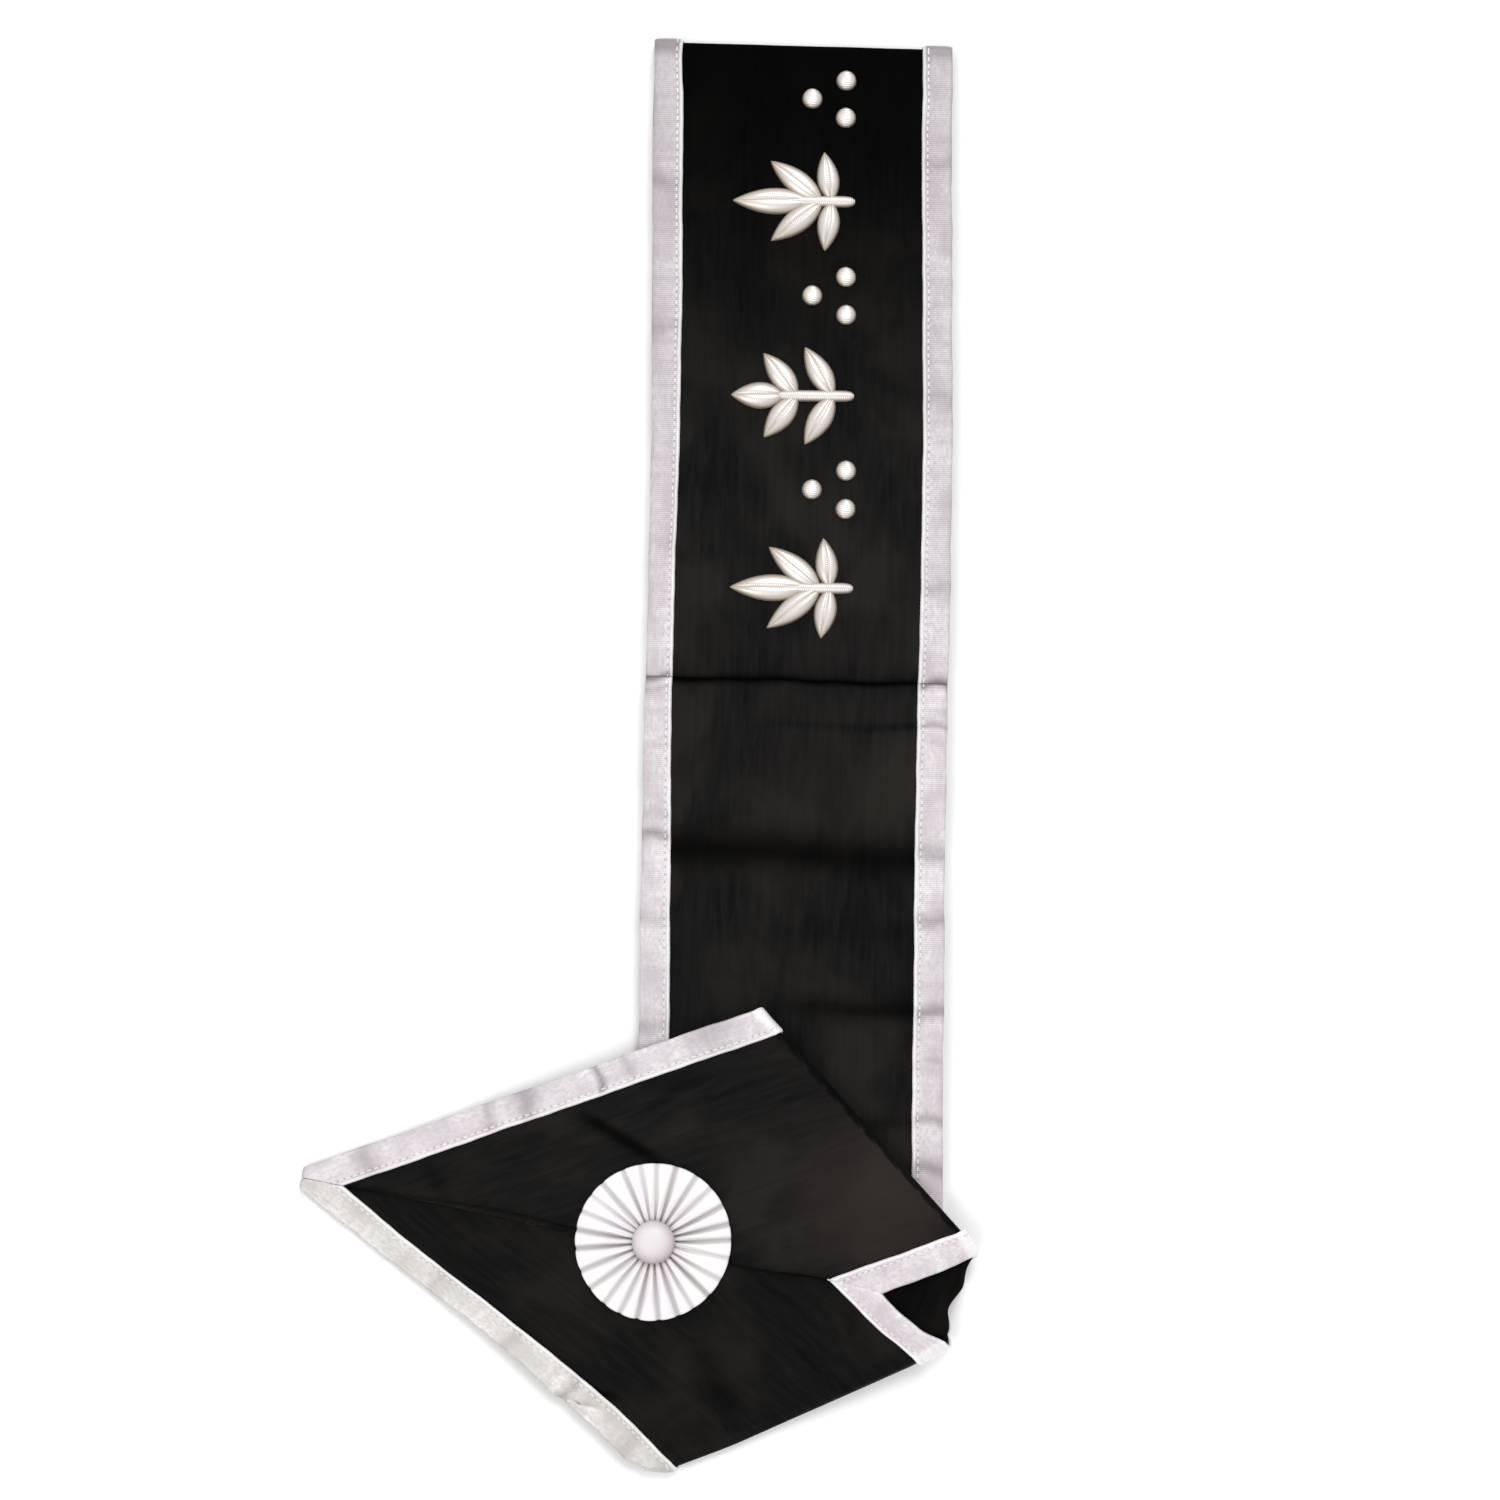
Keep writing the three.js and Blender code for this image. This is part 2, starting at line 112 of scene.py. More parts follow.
# Places that are rolled in or drawn aside: x and y in plan, how far they move, and the radius
ROLLED_CORNERS = [
    (46, -89.3, -1.2, -0.4, 14),
    (113, -176.3, -4.6, 0.2, 18),
    (102, -199.3, 0.6, 2.8, 14),
    (4.5, -242.3, -0.4, 4.4, 12),
    (8, -240, -3.0, 0.3, 30),
    (56, 90, 1.6, 0.0, 130),
    (60, -178.6, 2.4, 0.8, 26),
    (105.5, -176.5, 2.3, 0.0, 10),
    (104, -185, -2.2, 0.0, 9),
    (100, -199, 1.2, -0.4, 11),
]

# The bare upper layer: its lift off the layer below, how far it may sink, and where it is free
BARE_LIFT = 1.0
BARE_SINK = 0.25
BARE_COVER = dict(clear=4, run=25)
NECK_RUN = 22
# Creases that press it down again: distance from the neck, tilt across the ribbon, depth, width,
# whether they are sharp, the side that they show on or 0 for both, and how much painted shade they
# carry
CREASE_ROWS = [
    (213, 0, 1.0, 1.9, True, 0, 0.5),
    (213, 0, 0.0, 1.5, False, 0, 0.7),
    (205, 0, -0.28, 4.5, False, 0, 0.0),
    (270, -0.028, 1.0, 7.2, False, 0, 0.85),
    (320, -0.03, 0.6, 3.4, False, -1, 0.75),
    (228, 0.01, 0.25, 1.4, False, -1, 0.3),
    (296, 0.02, 0.22, 2.5, False, -1, 0.2),
    (357, -0.02, 0.35, 2.2, False, -1, 0.3),
    (372, -0.01, 0.3, 1.8, False, -1, 0.3),
]
CREASE_SIDE_RUN = 45
# The painted shade line of a crease wanders: height, waves across the ribbon, and phase
CREASE_WANDER = [(0.4, 0.11, 0.7), (0.2, 0.31, 0)]
# Depth of a wrinkle that is in full shade
SHADE_DEPTH = 0.8
# Painted shade towards the neck, darkening the cloth and greying the borders, over these distances
NECK_SHADE = dict(cloth=0.92, cloth_reach=170, border=0.34, border_reach=280)

# Cloth that lies in shade: between the right arm's folds, and over the left arm's point
TURN_SHADE = 0.6
LEFT_POINT_SHADE = 0.2
# Places of the right arm with a painted pool of brownish light: folds before them, place, reach and
# share
LIT_PATCHES = [
    dict(folds=0, x=77, y=-148, reach=26, share=0.55),
    dict(folds=2, x=86, y=-5, reach=38, share=0.18),
]

# Wrinkles of the V panel: where they start and end in plan, their width, and height or depth
WRINKLES = [
    ((-18, -122), (7, -137), 2.8, -0.7),
    ((-20, -112), (14, -131), 5.0, 0.5),
    ((44, -96), (68, -124), 3.0, 0.3),
    ((-33, -211), (-12, -217.5), 1.3, -0.9),
    ((-40, -203), (-8, -212), 5.0, 0.7),
    ((-70, -139), (-62, -150), 2.5, -0.25),
    ((40, -188), (58, -208), 4.0, 0.35),
    ((-52, -166), (-20, -196), 6.0, 0.45),
    ((18, -196), (30, -222), 5.0, -0.3),
]
# Share of a wrinkle's length over which each end fades, and how far the V panel may sink
WRINKLE_END = 0.25
PANEL_SINK = 0.5
# The mitre seam's dip, and how far it bows up off a straight line, and where
SEAM_DIP = dict(depth=0.55, width=1.1, bow=2.1, bow_at=-25, bow_reach=35)

# Ripples of the cloth: height, wavelengths along x and y, and phase
RIPPLES = [
    (0.10, 41, 67, 0.3),
    (0.08, -29, 37, 1.9),
    (0.06, 19, -23, 4.1),
    (0.04, 13, 17, 2.6),
]
# Puckers that the sewn borders pull into the ribbon's edges: height, wavelength and phase, each
# edge's shift, how far in they reach, and their share on the underside
EDGE_PUCKERS = [(0.065, 17.3, 0.4), (0.05, 9.1, 2.2), (0.03, 5.3, 4.4)]
EDGE_PUCKER_SHIFT = 0.8
EDGE_PUCKER_REACH = 16
UNDER_PUCKER = 0.6

# Cross creases of the borders by arm, side and what their place is measured from: the neck, or
# the V's point, where it is u. Each one has its place, half width, depth and how much painted shade
# it carries.
BORDER_MARKS = {
    ("right", "inner", "neck"): [
        (213, 2.1, 0.1, 0.9), (227, 1.2, 0.12, 0.35), (269, 3.2, 0.20, 0.38),
        (291, 2.2, 0.20, 0.50), (321, 2.8, 0.24, 0.62), (337, 1.0, 0.10, 0.28),
        (356, 2.0, 0.20, 0.42), (372, 2.6, 0.24, 0.58), (38, 2.4, 0.10, 0.25),
        (118, 2.8, 0.10, 0.22), (181, 2.0, 0.10, 0.28),
    ],
    ("right", "outer", "neck"): [
        (213, 1.7, 0.1, 0.85), (217, 1.0, 0.08, 0.28), (236, 1.0, 0.08, 0.20),
        (258, 1.3, 0.10, 0.24), (265, 1.6, 0.20, 0.62), (293, 1.8, 0.12, 0.35),
        (328, 2.6, 0.12, 0.40), (47, 2.2, 0.08, 0.28), (96, 3.0, 0.08, 0.25),
        (168, 2.6, 0.10, 0.22),
    ],
    ("right", "outer", "point"): [
        (22.5, 1.3, 0.28, 0.75), (32.6, 1.6, 0.10, 0.32), (-2.7, 3.6, 0.15, 0.55),
        (-15.8, 2.0, 0.12, 0.40), (-58.5, 3.4, 0.15, 0.45), (62.0, 9.0, 0.05, 0.32),
    ],
    ("left", "outer", "point"): [
        (30.5, 1.5, 0.12, 0.60), (-24.0, 3.0, 0.12, 0.30), (6.0, 2.2, 0.10, 0.25),
        (58.0, 2.6, 0.12, 0.30),
    ],
    ("left", "inner", "point"): [(66.0, 3.0, 0.08, 0.25)],
}
# A crease sways over a border: how far, and its waves across and along
MARK_SWAY = dict(height=0.7, across=0.5, along=0.05)
# Where a border is sewn on narrower: arm, side, distance from the neck, half width, and by how much
NARROWED = [
    ("right", "outer", 190, 75, 1.4),
    ("right", "outer", 6, 12, 0.8),
    ("left", "inner", 443, 19, 1.4),
]
# A painted highlight on the bend of a border's fold, painted shade on the neck's bend, and a little
# painted shade on the rest, more past the folds
FOLD_HIGHLIGHT = dict(share=0.75, margin=0.4)
NECK_BEND_SHADE = dict(share=0.35, reach=3)
BORDER_POINT_SHADE = 0.04
BORDER_RETURN_SHADE = 0.12

# How finely an arm is cut: steps over its V panel, round a bend, and over its hidden stretches
PANEL_STEPS = 110
BEND_STEPS = 12
HIDDEN_STEPS = {"right": 24, "left": 10}
# Cuts of the stretch up to the neck: start, step, and a fine step within reach of its creases
NECK_CUTS = {
    "right": dict(start=412, step=1.9, fine=0.6, creases=[(213, 7), (228, 4), (357, 5), (372, 4)]),
    "left": dict(start=400, step=8, fine=8, creases=[]),
}
# Rows across the cloth and across a border, and in degrees those round their edges
CLOTH_ROWS = 47
BORDER_ROWS = 11
EDGE_ANGLES = [8, 30, 52, 72]
BORDER_CROWN = 0.25

# Trios of dots and motifs on the right arm, by distance from the neck
DOT_RADIUS = 3.35
DOT_HEIGHT = 2.2
DOT_TRIOS = [("upper", 18.8, 14.4), ("middle", 85.7, 14.3), ("lower", 151, 14.3)]
TRIO_PLACES = [(0, 6.4), (0, -6.4), (-11.3, 0)]
MOTIF_CROWN = 2.6
MOTIF_LENGTH = 41.0
MOTIFS = [
    ("upper", 53.8, -2.9, "palmette"),
    ("middle", 119.6, -3.6, "branch"),
    ("lower", 184.0, -3.0, "palmette"),
]
# Leaves of each motif, those off the stem in pairs: base along it, angle, length and width
LEAVES = {
    "palmette": [(15, 0, 26, 9), (11, 38, 22, 8), (8, 82, 17, 7.5)],
    "branch": [(23, 0, 18, 9), (19, 52, 18, 8), (7, 60, 19, 8)],
}
STEM = dict(length=26, width=3.8, crown=1.9)
# Threads wound over the padding: pitch, rise, the level that they rise from, and their slant
THREAD_PITCH = 0.7
THREAD_RISE = 0.16
THREAD_LEVEL = 0.6
LEAF_SLANT = 0.7
# A leaf's midrib: depth as a share of its height, and width as a share of its own
LEAF_RIB = 0.3
RIB_WIDTH = 0.09
# Points of a padded shape: along each thread, across it, and how far they crowd to its ends
THREAD_STEPS = 6
PAD_COLUMNS = 19
END_CROWDING = 0.35
END_ANGLE = 0.04
END_INSET = 0.004

# Rosette on the mitre seam, and its covered button
ROSETTE = dict(x=5.2, y=-162.9, radius=25.2, pleats=25, ridge=3.0, seat=5.6, rings=36)
# The disc's level over the ribbon, and how far its back lies under it and its valleys over it
ROSETTE_LIFT = 0.65
ROSETTE_LOW = HALF_THICK + ROSETTE_LIFT
ROSETTE_BACK = 0.5
# Its ridges rise in part of an arch over this share of their height, and its rim is slightly oval
ARCH = dict(least=0.62, start=0.1, run=0.86)
OVAL = 0.008
# Pleats, in shares of their pitch: how far they stray and lean, the shallowest, and their form
PLEAT = dict(points=26, stray=0.14, lean=0.03, shallowest=0.5, width=0.15, pinch=0.11)
PLEAT_SLOPE = dict(share=0.36, width=0.3)
PLEAT_DEPTH = 1.9
SCALLOP = 0.15
# The hem, in shares of the disc's width, the drop at the rim, and fine folds towards the button
HEM = dict(depth=0.25, start=0.9, fall=0.05, end=0.99, rise=0.04)
RIM = dict(start=0.985, drop=0.5)
FINE_DEPTH = 0.45
# The button's dome runs from a little under its widest ring to a small flat at its top
BUTTON = dict(radius=7.0, height=5.2, low=3.25, edge=1.4, under=0.42, flat=0.02)
BUTTON_CUTS = dict(rings=26, spokes=72)
# The satin is gathered at the button's edge, and paler on the side of the light
GATHERS = dict(count=18, depth=0.012, top=0.6, run=0.8)
BUTTON_LIGHT = dict(share=0.14, aside=0.5)

# The photograph's view: aimed point in plan, distance, tilt from straight down, and scale
AIM = (36.47, -2.04)
CAMERA_DISTANCE = 1100.0
CAMERA_TILT = math.radians(4.5)
PIXELS_PER_MM = 3.015
FRAME_PIXELS = 1500
SENSOR_WIDTH = 36.0
ROOM_LIGHT = 0.75


def smooth(t):
    """An even step from 0 to 1 as t goes from 0 to 1."""
    t = np.clip(t, 0, 1)
    return t * t * (3 - 2 * t)


def past(fold, u, v):
    """How far a flat point lies past the line where a fold's bend begins."""
    return (u - fold.at) * fold.along[0] + v * fold.along[1]


def crease_u(fold, beyond, v):
    """The u of a flat point at v that lies a distance past the start of a bend."""
    return fold.at + (beyond - v * fold.along[1]) / fold.along[0]


def unfolded(arm, u, v, folds):
    """Plan place of a flat point that lies after the given number of folds."""
    for fold in reversed(arm.folds[:folds]):
        back = fold.length - 2 * past(fold, u, v)
        u, v = u + fold.along[0] * back, v + fold.along[1] * back
    cos, sin = math.cos(arm.heading), math.sin(arm.heading)
    return MITRE[0] + u * cos - v * sin, MITRE[1] + u * sin + v * cos


def lay_out(name):
    """Turns the creases in plan into folds of the flat ribbon."""
    arm = SimpleNamespace(name=name, heading=math.radians(HEADING[name]), folds=[])
    start_u, panel, side = 0.0, arm.heading, 1
    for crease in CREASES[name]:
        angle = math.radians(crease["angle"])
        flat = side * (angle - panel)
        sign = math.copysign(1, math.sin(flat))
        along = (math.sin(flat) * sign, -math.cos(flat) * sign)
        x, y = unfolded(arm, start_u, 0.0, len(arm.folds))
        reach = crease["reach"]
        offset = (crease["x"] - x) * math.sin(angle) - (crease["y"] - y) * math.cos(angle)
        edge = offset / (math.cos(panel) * math.sin(angle) - math.sin(panel) * math.cos(angle))
        at = start_u + edge - (reach + HALF_THICK) / along[0]
        fold = SimpleNamespace(at=at, along=along, reach=reach, length=math.pi * reach)
        arm.folds.append(fold)
        start_u = at + fold.length / along[0]
        panel = 2 * angle - panel
        side = -side
    return arm


RIGHT, LEFT = lay_out("right"), lay_out("left")
OVER_FOLD, UNDER_FOLD, NECK_FOLD = RIGHT.folds


def left_of(arm, first, second, folds):
    """Distance of plan points to the left of the line through two flat points of one panel."""
    ax, ay = unfolded(arm, *first, folds)
    bx, by = unfolded(arm, *second, folds)
    dx, dy = bx - ax, by - ay
    length = math.hypot(dx, dy)
    return lambda x, y: (dx * (y - ay) - dy * (x - ax)) / length


def left_of_edge(at, folds):
    """Distance of plan points to the left of the right arm's left edge, near u = at."""
    return left_of(RIGHT, (at - HALF, HALF), (at, HALF), folds)


def left_of_crease(fold, start_v, folds):
    """Distance of plan points to the left of a crease, walked from start_v across the ribbon."""
    start, end = ((crease_u(fold, 0, v), v) for v in (start_v, -start_v))
    return left_of(RIGHT, start, end, folds)


left_of_return = left_of_edge(NECK_FOLD.at, 2)
inside_turn = left_of_edge(UNDER_FOLD.at, 1)
south_of_fold = left_of_crease(UNDER_FOLD, -HALF, 1)
above_v = left_of_edge(0, 0)
right_of_v = left_of_crease(OVER_FOLD, HALF, 0)
SEAM_WAY = (RIGHT.heading + LEFT.heading) / 2


def ripple(x, y):
    """Height that the cloth's ripples add."""
    return sum(
        height * np.sin(2 * math.pi * (x / along_x + y / along_y) + phase)
        for height, along_x, along_y, phase in RIPPLES
    )


def wrinkled(x, y):
    """Height that the V panel's wrinkles and its seam add."""
    total = np.zeros_like(x)
    for (ax, ay), (bx, by), width, height in WRINKLES:
        length = math.hypot(bx - ax, by - ay)
        tx, ty = (bx - ax) / length, (by - ay) / length
        along = ((x - ax) * tx + (y - ay) * ty) / length
        across = (x - ax) * ty - (y - ay) * tx
        inside = np.minimum(along, 1 - along) + WRINKLE_END
        ends = smooth(inside / (2 * WRINKLE_END))
        total += height * ends * np.exp(-((across / width) ** 2))
    along_seam = (x - MITRE[0]) * math.cos(SEAM_WAY) + (y - MITRE[1]) * math.sin(SEAM_WAY)
    from_seam = (x - MITRE[0]) * math.sin(SEAM_WAY) - (y - MITRE[1]) * math.cos(SEAM_WAY)
    bowed = (along_seam - SEAM_DIP["bow_at"]) / SEAM_DIP["bow_reach"]
    from_seam = from_seam + SEAM_DIP["bow"] * np.exp(-bowed * bowed)
    return total - SEAM_DIP["depth"] * np.exp(-np.abs(from_seam) / SEAM_DIP["width"])


def stays(distance, drape):
    """Share by which the panel stays up at a distance beyond the layers under it."""
    keep, run = drape
    return 1 - smooth((distance - keep) / run)


def panel_base(x, y):
    """Height of the V panel's middle above the floor, without its wrinkles."""
    over_return = stays(left_of_return(x, y), DRAPE["return"])
    over_fold = stays(south_of_fold(x, y), DRAPE["fold"])
    over_turn = stays(-inside_turn(x, y), DRAPE["turn"]) * over_fold
    return (
        POINT_LEVEL
        + (OVER_LEFT_RETURN - POINT_LEVEL) * over_return
        + (OVER_RIGHT_RETURN - OVER_LEFT_RETURN) * over_return * over_fold
        + (OVER_TURN - OVER_RIGHT_RETURN) * over_turn
    )


def panel_level(x, y, u, v):
    """Height of the V panel's middle above the floor, with its wrinkles."""
    base = panel_base(x, y)
    relief = wrinkled(x, y) + ripple(x, y)
    room = base - POINT_LEVEL
    return base + np.maximum(relief, -np.minimum(room, PANEL_SINK))


def cross_creases(distance, v):
    """Depth and shade of the cross creases at a distance from the neck."""
    depth, dark = np.zeros_like(distance), np.zeros_like(distance)
    for at, tilt, deep, width, sharp, side, shade in CREASE_ROWS:
        off = np.abs(distance - at - tilt * v) / width
        shape = np.exp(-off) if sharp else np.exp(-off * off)
        share = smooth(0.5 + side * v / CREASE_SIDE_RUN) if side else 1.0
        depth += deep * shape * share
        dark += shade * shape * share
    return depth, dark


def bare_level(x, y, u, v):
    """Height of the upper layer's middle, lifted between its cross creases where it is bare."""
    distance = -past(NECK_FOLD, u, v)
    uncovered = np.maximum(above_v(x, y), right_of_v(x, y))
    bare = smooth((uncovered - BARE_COVER["clear"]) / BARE_COVER["run"])
    lift = BARE_LIFT * smooth(distance / NECK_RUN) + ripple(x, y)
    lift = lift - cross_creases(distance, v)[0]
    return RIGHT_RETURN + np.maximum(lift * bare, -BARE_SINK)


def cloth_shade(arm, u, v):
    """How much painted shade a place of the ribbon has, or below 0 how much painted light it has.
    """
    x, y = unfolded(arm, u, v, 0)
    on_point = past(arm.folds[0], u, v) < 0
    # Painted shade in the wrinkles and along the mitre seam
    sunk = np.clip(-wrinkled(x, y) / SHADE_DEPTH, 0, 1) * on_point
    if arm is LEFT:
        return np.clip(sunk + LEFT_POINT_SHADE * on_point, 0, 1)
    from_neck = -past(NECK_FOLD, u, v)
    on_return = past(arm.folds[1], u, v) > arm.folds[1].length
    wander = sum(height * np.sin(v * waves + phase) for height, waves, phase in CREASE_WANDER)
    # Painted shade that grows towards the neck
    neck = NECK_SHADE["cloth"] * smooth(1 - from_neck / NECK_SHADE["cloth_reach"])
    # Painted shade in the cross creases, and between the right arm's folds
    shade = sunk + neck + cross_creases(from_neck + wander, v)[1] * on_return
    shade = shade + TURN_SHADE * ~(on_point | on_return)
    # Painted light in brownish pools, taking the value below 0
    for row in LIT_PATCHES:
        x, y = unfolded(arm, u, v, row["folds"])
        from_middle = np.hypot(x - row["x"], y - row["y"]) / row["reach"]
        visible = on_return if row["folds"] else on_point
        shade = shade - row["share"] * np.exp(-from_middle * from_middle) * visible
    return np.clip(shade, -1, 1)


def flat_level(height):
    """A layer that lies flat at one height."""
    return lambda x, y, u, v: np.full_like(x, height)


LEVELS = {
    "right": [panel_level, flat_level(RIGHT_TURN), bare_level, flat_level(LEFT_RETURN)],
    "left": [panel_level, flat_level(LEFT_RETURN), flat_level(RIGHT_RETURN)],
}


def pucker_at(arm, u, v):
    """Sideways pull of the left arm's pucker and of its slide past the fold."""
    if arm is not LEFT:
        return np.zeros_like(u)
    from_mitre = u * math.sin(MITRE_HALF) - v * math.cos(MITRE_HALF)
    build = smooth(from_mitre / PUCKER["run"])
    across = smooth((PUCKER["start"] - v) / PUCKER["width"])
    fade = 1 - smooth((u - PUCKER["fade_from"]) / PUCKER["fade"])
    slid = smooth((past(LEFT.folds[0], u, v) - LEFT.folds[0].length) / RETURN_SLIDE["run"])
    return PUCKER["draw"] * build * across * fade + RETURN_SLIDE["slide"] * slid


def rolled(x, y):
    """Moves plan points with the rolled corners near them."""
    px, py = x, y
    for corner_x, corner_y, move_x, move_y, radius in ROLLED_CORNERS:
        near = smooth(1 - np.hypot(x - corner_x, y - corner_y) / radius)
        px, py = px + move_x * near, py + move_y * near
    return px, py


def bent(arm, index, u, v):
    """Points of the middle surface before fold index, or in its bend."""
    fold = arm.folds[index]
    beyond = np.maximum(past(fold, u, v), 0)
    turn = math.pi * beyond / fold.length
    foot_u, foot_v = u - fold.along[0] * beyond, v - fold.along[1] * beyond
    out = fold.reach * np.sin(turn)
    x, y = rolled(
        *unfolded(arm, foot_u + fold.along[0] * out, foot_v + fold.along[1] * out, index)
    )
    foot_x, foot_y = unfolded(arm, foot_u, foot_v, index)
    before = LEVELS[arm.name][index](foot_x, foot_y, foot_u, foot_v)
    after = LEVELS[arm.name][index + 1](foot_x, foot_y, foot_u, foot_v)
    z = (before + after) / 2 + (before - after) / 2 * np.cos(turn)
    return np.stack([x, y, z], -1)


def middle(arm, u, flat_v):
    """Points of an arm's middle surface for flat points."""
    wave = sum(
        share * np.sin(2 * math.pi * u / length + phase + WIDTH_WAVE_SHIFT * np.sign(flat_v))
        for share, length, phase in WIDTH_WAVES
    )
    v = flat_v * (1 + wave) + pucker_at(arm, u, flat_v)
    points = np.empty(u.shape + (3,))
    waiting = np.ones(u.shape, bool)
    for index, fold in enumerate(arm.folds):
        here = waiting & ((past(fold, u, v) < fold.length) | (index == len(arm.folds) - 1))
        points[here] = bent(arm, index, u[here], v[here])
        waiting &= ~here
    return points


# Distance over which slopes are measured
PROBE = 0.02


def on_arm(arm, u, v, height):
    """Points at a height over the face of an arm."""
    along_u = middle(arm, u + PROBE, v) - middle(arm, u - PROBE, v)
    along_v = middle(arm, u, v + PROBE) - middle(arm, u, v - PROBE)
    normal = np.cross(along_u, along_v)
    normal /= np.linalg.norm(normal, axis=-1, keepdims=True)
    return middle(arm, u, v) + normal * np.asarray(height)[..., None]


def on_panel(x, y, height):
    """Points at a height over the V panel, for what is sewn across both arms."""
    slope_x = (panel_base(x + PROBE, y) - panel_base(x - PROBE, y)) / (2 * PROBE)
    slope_y = (panel_base(x, y + PROBE) - panel_base(x, y - PROBE)) / (2 * PROBE)
    normal = np.stack([-slope_x, -slope_y, np.ones_like(x)], -1)
    normal /= np.linalg.norm(normal, axis=-1, keepdims=True)
    return np.stack([x, y, panel_base(x, y)], -1) + normal * np.asarray(height)[..., None]


def on_bare_arm(at, across):
    """Place over the right arm's bare stretch: x to the wearer's left, y towards the neck."""
    apex = crease_u(NECK_FOLD, NECK_FOLD.length / 2, 0)
    return lambda x, y, z: on_arm(RIGHT, apex - at + y, -across - x, SEWN_LOW + z)


def make_piece(name, points, faces, material, replaced, flat):
    """A mesh object from points in millimetres, riding on the root body."""
    mesh = bpy.data.meshes.new(name)
    mesh.from_pydata((points.reshape(-1, 3) * MM).tolist(), [], faces)
    attribute = mesh.attributes.new("flat", "FLOAT_VECTOR", "POINT")
    attribute.data.foreach_set("vector", (flat.reshape(-1, 3) * MM).ravel())
    mesh.materials.append(material)
    mesh.shade_smooth()
    piece = bpy.data.objects.new(name, mesh)
    bpy.context.scene.collection.objects.link(piece)
    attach(piece, "root")
    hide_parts(*replaced)
    return piece


def add_value(piece, name, values):
    """Gives each point of a piece a number that its material reads."""
    attribute = piece.data.attributes.new(name, "FLOAT", "POINT")
    attribute.data.foreach_set("value", values.ravel().astype(np.float32))


def grid_faces(rows, columns, wrap=False, closed=False):
    """Quads of a grid of points: wrap joins the last column to the first, closed the last row."""
    i, j = np.arange(rows if closed else rows - 1), np.arange(columns if wrap else columns - 1)
    i, j = np.meshgrid(i, j, indexing="ij")
    after, beside = (i + 1) % rows, (j + 1) % columns
    quads = [i * columns + j, after * columns + j, after * columns + beside, i * columns + beside]
    return np.stack(quads, -1).reshape(-1, 4)


def mitre_line(arm):
    """Station line along the mitre seam, cut square to the seam at the blunted point."""
    outer = 1 if arm is RIGHT else -1
    cot = 1 / math.tan(MITRE_HALF)

    def line(v):
        from_point = HALF - v * outer
        seam = from_point * cot + SEAM_GAP / 2 / math.sin(MITRE_HALF)
        cut = POINT_BLUNTING / math.cos(MITRE_HALF) - from_point * math.tan(MITRE_HALF)
        return np.maximum(seam, cut) - HALF * cot

    return line


def fold_line(arm, fold, beyond):
    """Station line at a distance past the start of a fold's bend."""

    def line(v):
        pulled = v + pucker_at(arm, crease_u(fold, beyond, v), v)
        return crease_u(fold, beyond, pulled)

    return line


def graded(start, step, fine, creases):
    """Distances from the neck, from start down, closer together near the creases."""
    distances = [start]
    while distances[-1] > 0:
        near = any(abs(distances[-1] - at) < reach for at, reach in creases)
        distances.append(distances[-1] - (fine if near else step))
    return distances[1:-1]


def stations(arm):
    """The u of every station line of an arm, as a function of the rows across it."""
    neck = arm.folds[-1]
    rows = [(mitre_line(arm), PANEL_STEPS)]
    for fold in arm.folds[:-1]:
        rows.append((fold_line(arm, fold, 0), BEND_STEPS))
        rows.append((fold_line(arm, fold, fold.length), HIDDEN_STEPS[arm.name]))
    cuts = graded(**NECK_CUTS[arm.name])
    rows += [(fold_line(arm, neck, -distance), 1) for distance in cuts]
    rows.append((fold_line(arm, neck, 0), BEND_STEPS // 2))
    rows.append((fold_line(arm, neck, (neck.length - SEAM_GAP) / 2), 1))

    def lines(v):
        u = []
        for (line, steps), (following, _) in zip(rows, rows[1:]):
            start, end = line(v), following(v)
            u += [start + (end - start) * i / steps for i in range(steps)]
        u.append(rows[-1][0](v))
        return np.array(u)

    return lines


LINES = {arm.name: stations(arm) for arm in (RIGHT, LEFT)}


def rounded_rows(low_v, high_v, radius, count):
    """Rows across a strip that close up where its edges are rounded."""
    arc = radius * (1 - np.cos(np.radians(EDGE_ANGLES)))
    inner = np.linspace(low_v + radius, high_v - radius, count)
    return np.concatenate([low_v + arc, inner, high_v - arc[::-1]])


def edge_share(v, low_v, high_v, radius):
    """Share of a strip's full thickness, less where its edges are rounded."""
    inset = np.minimum(v - low_v, high_v - v)
    return np.sqrt(np.clip(1 - (1 - np.clip(inset / radius, 0, 1)) ** 2, 0, 1))


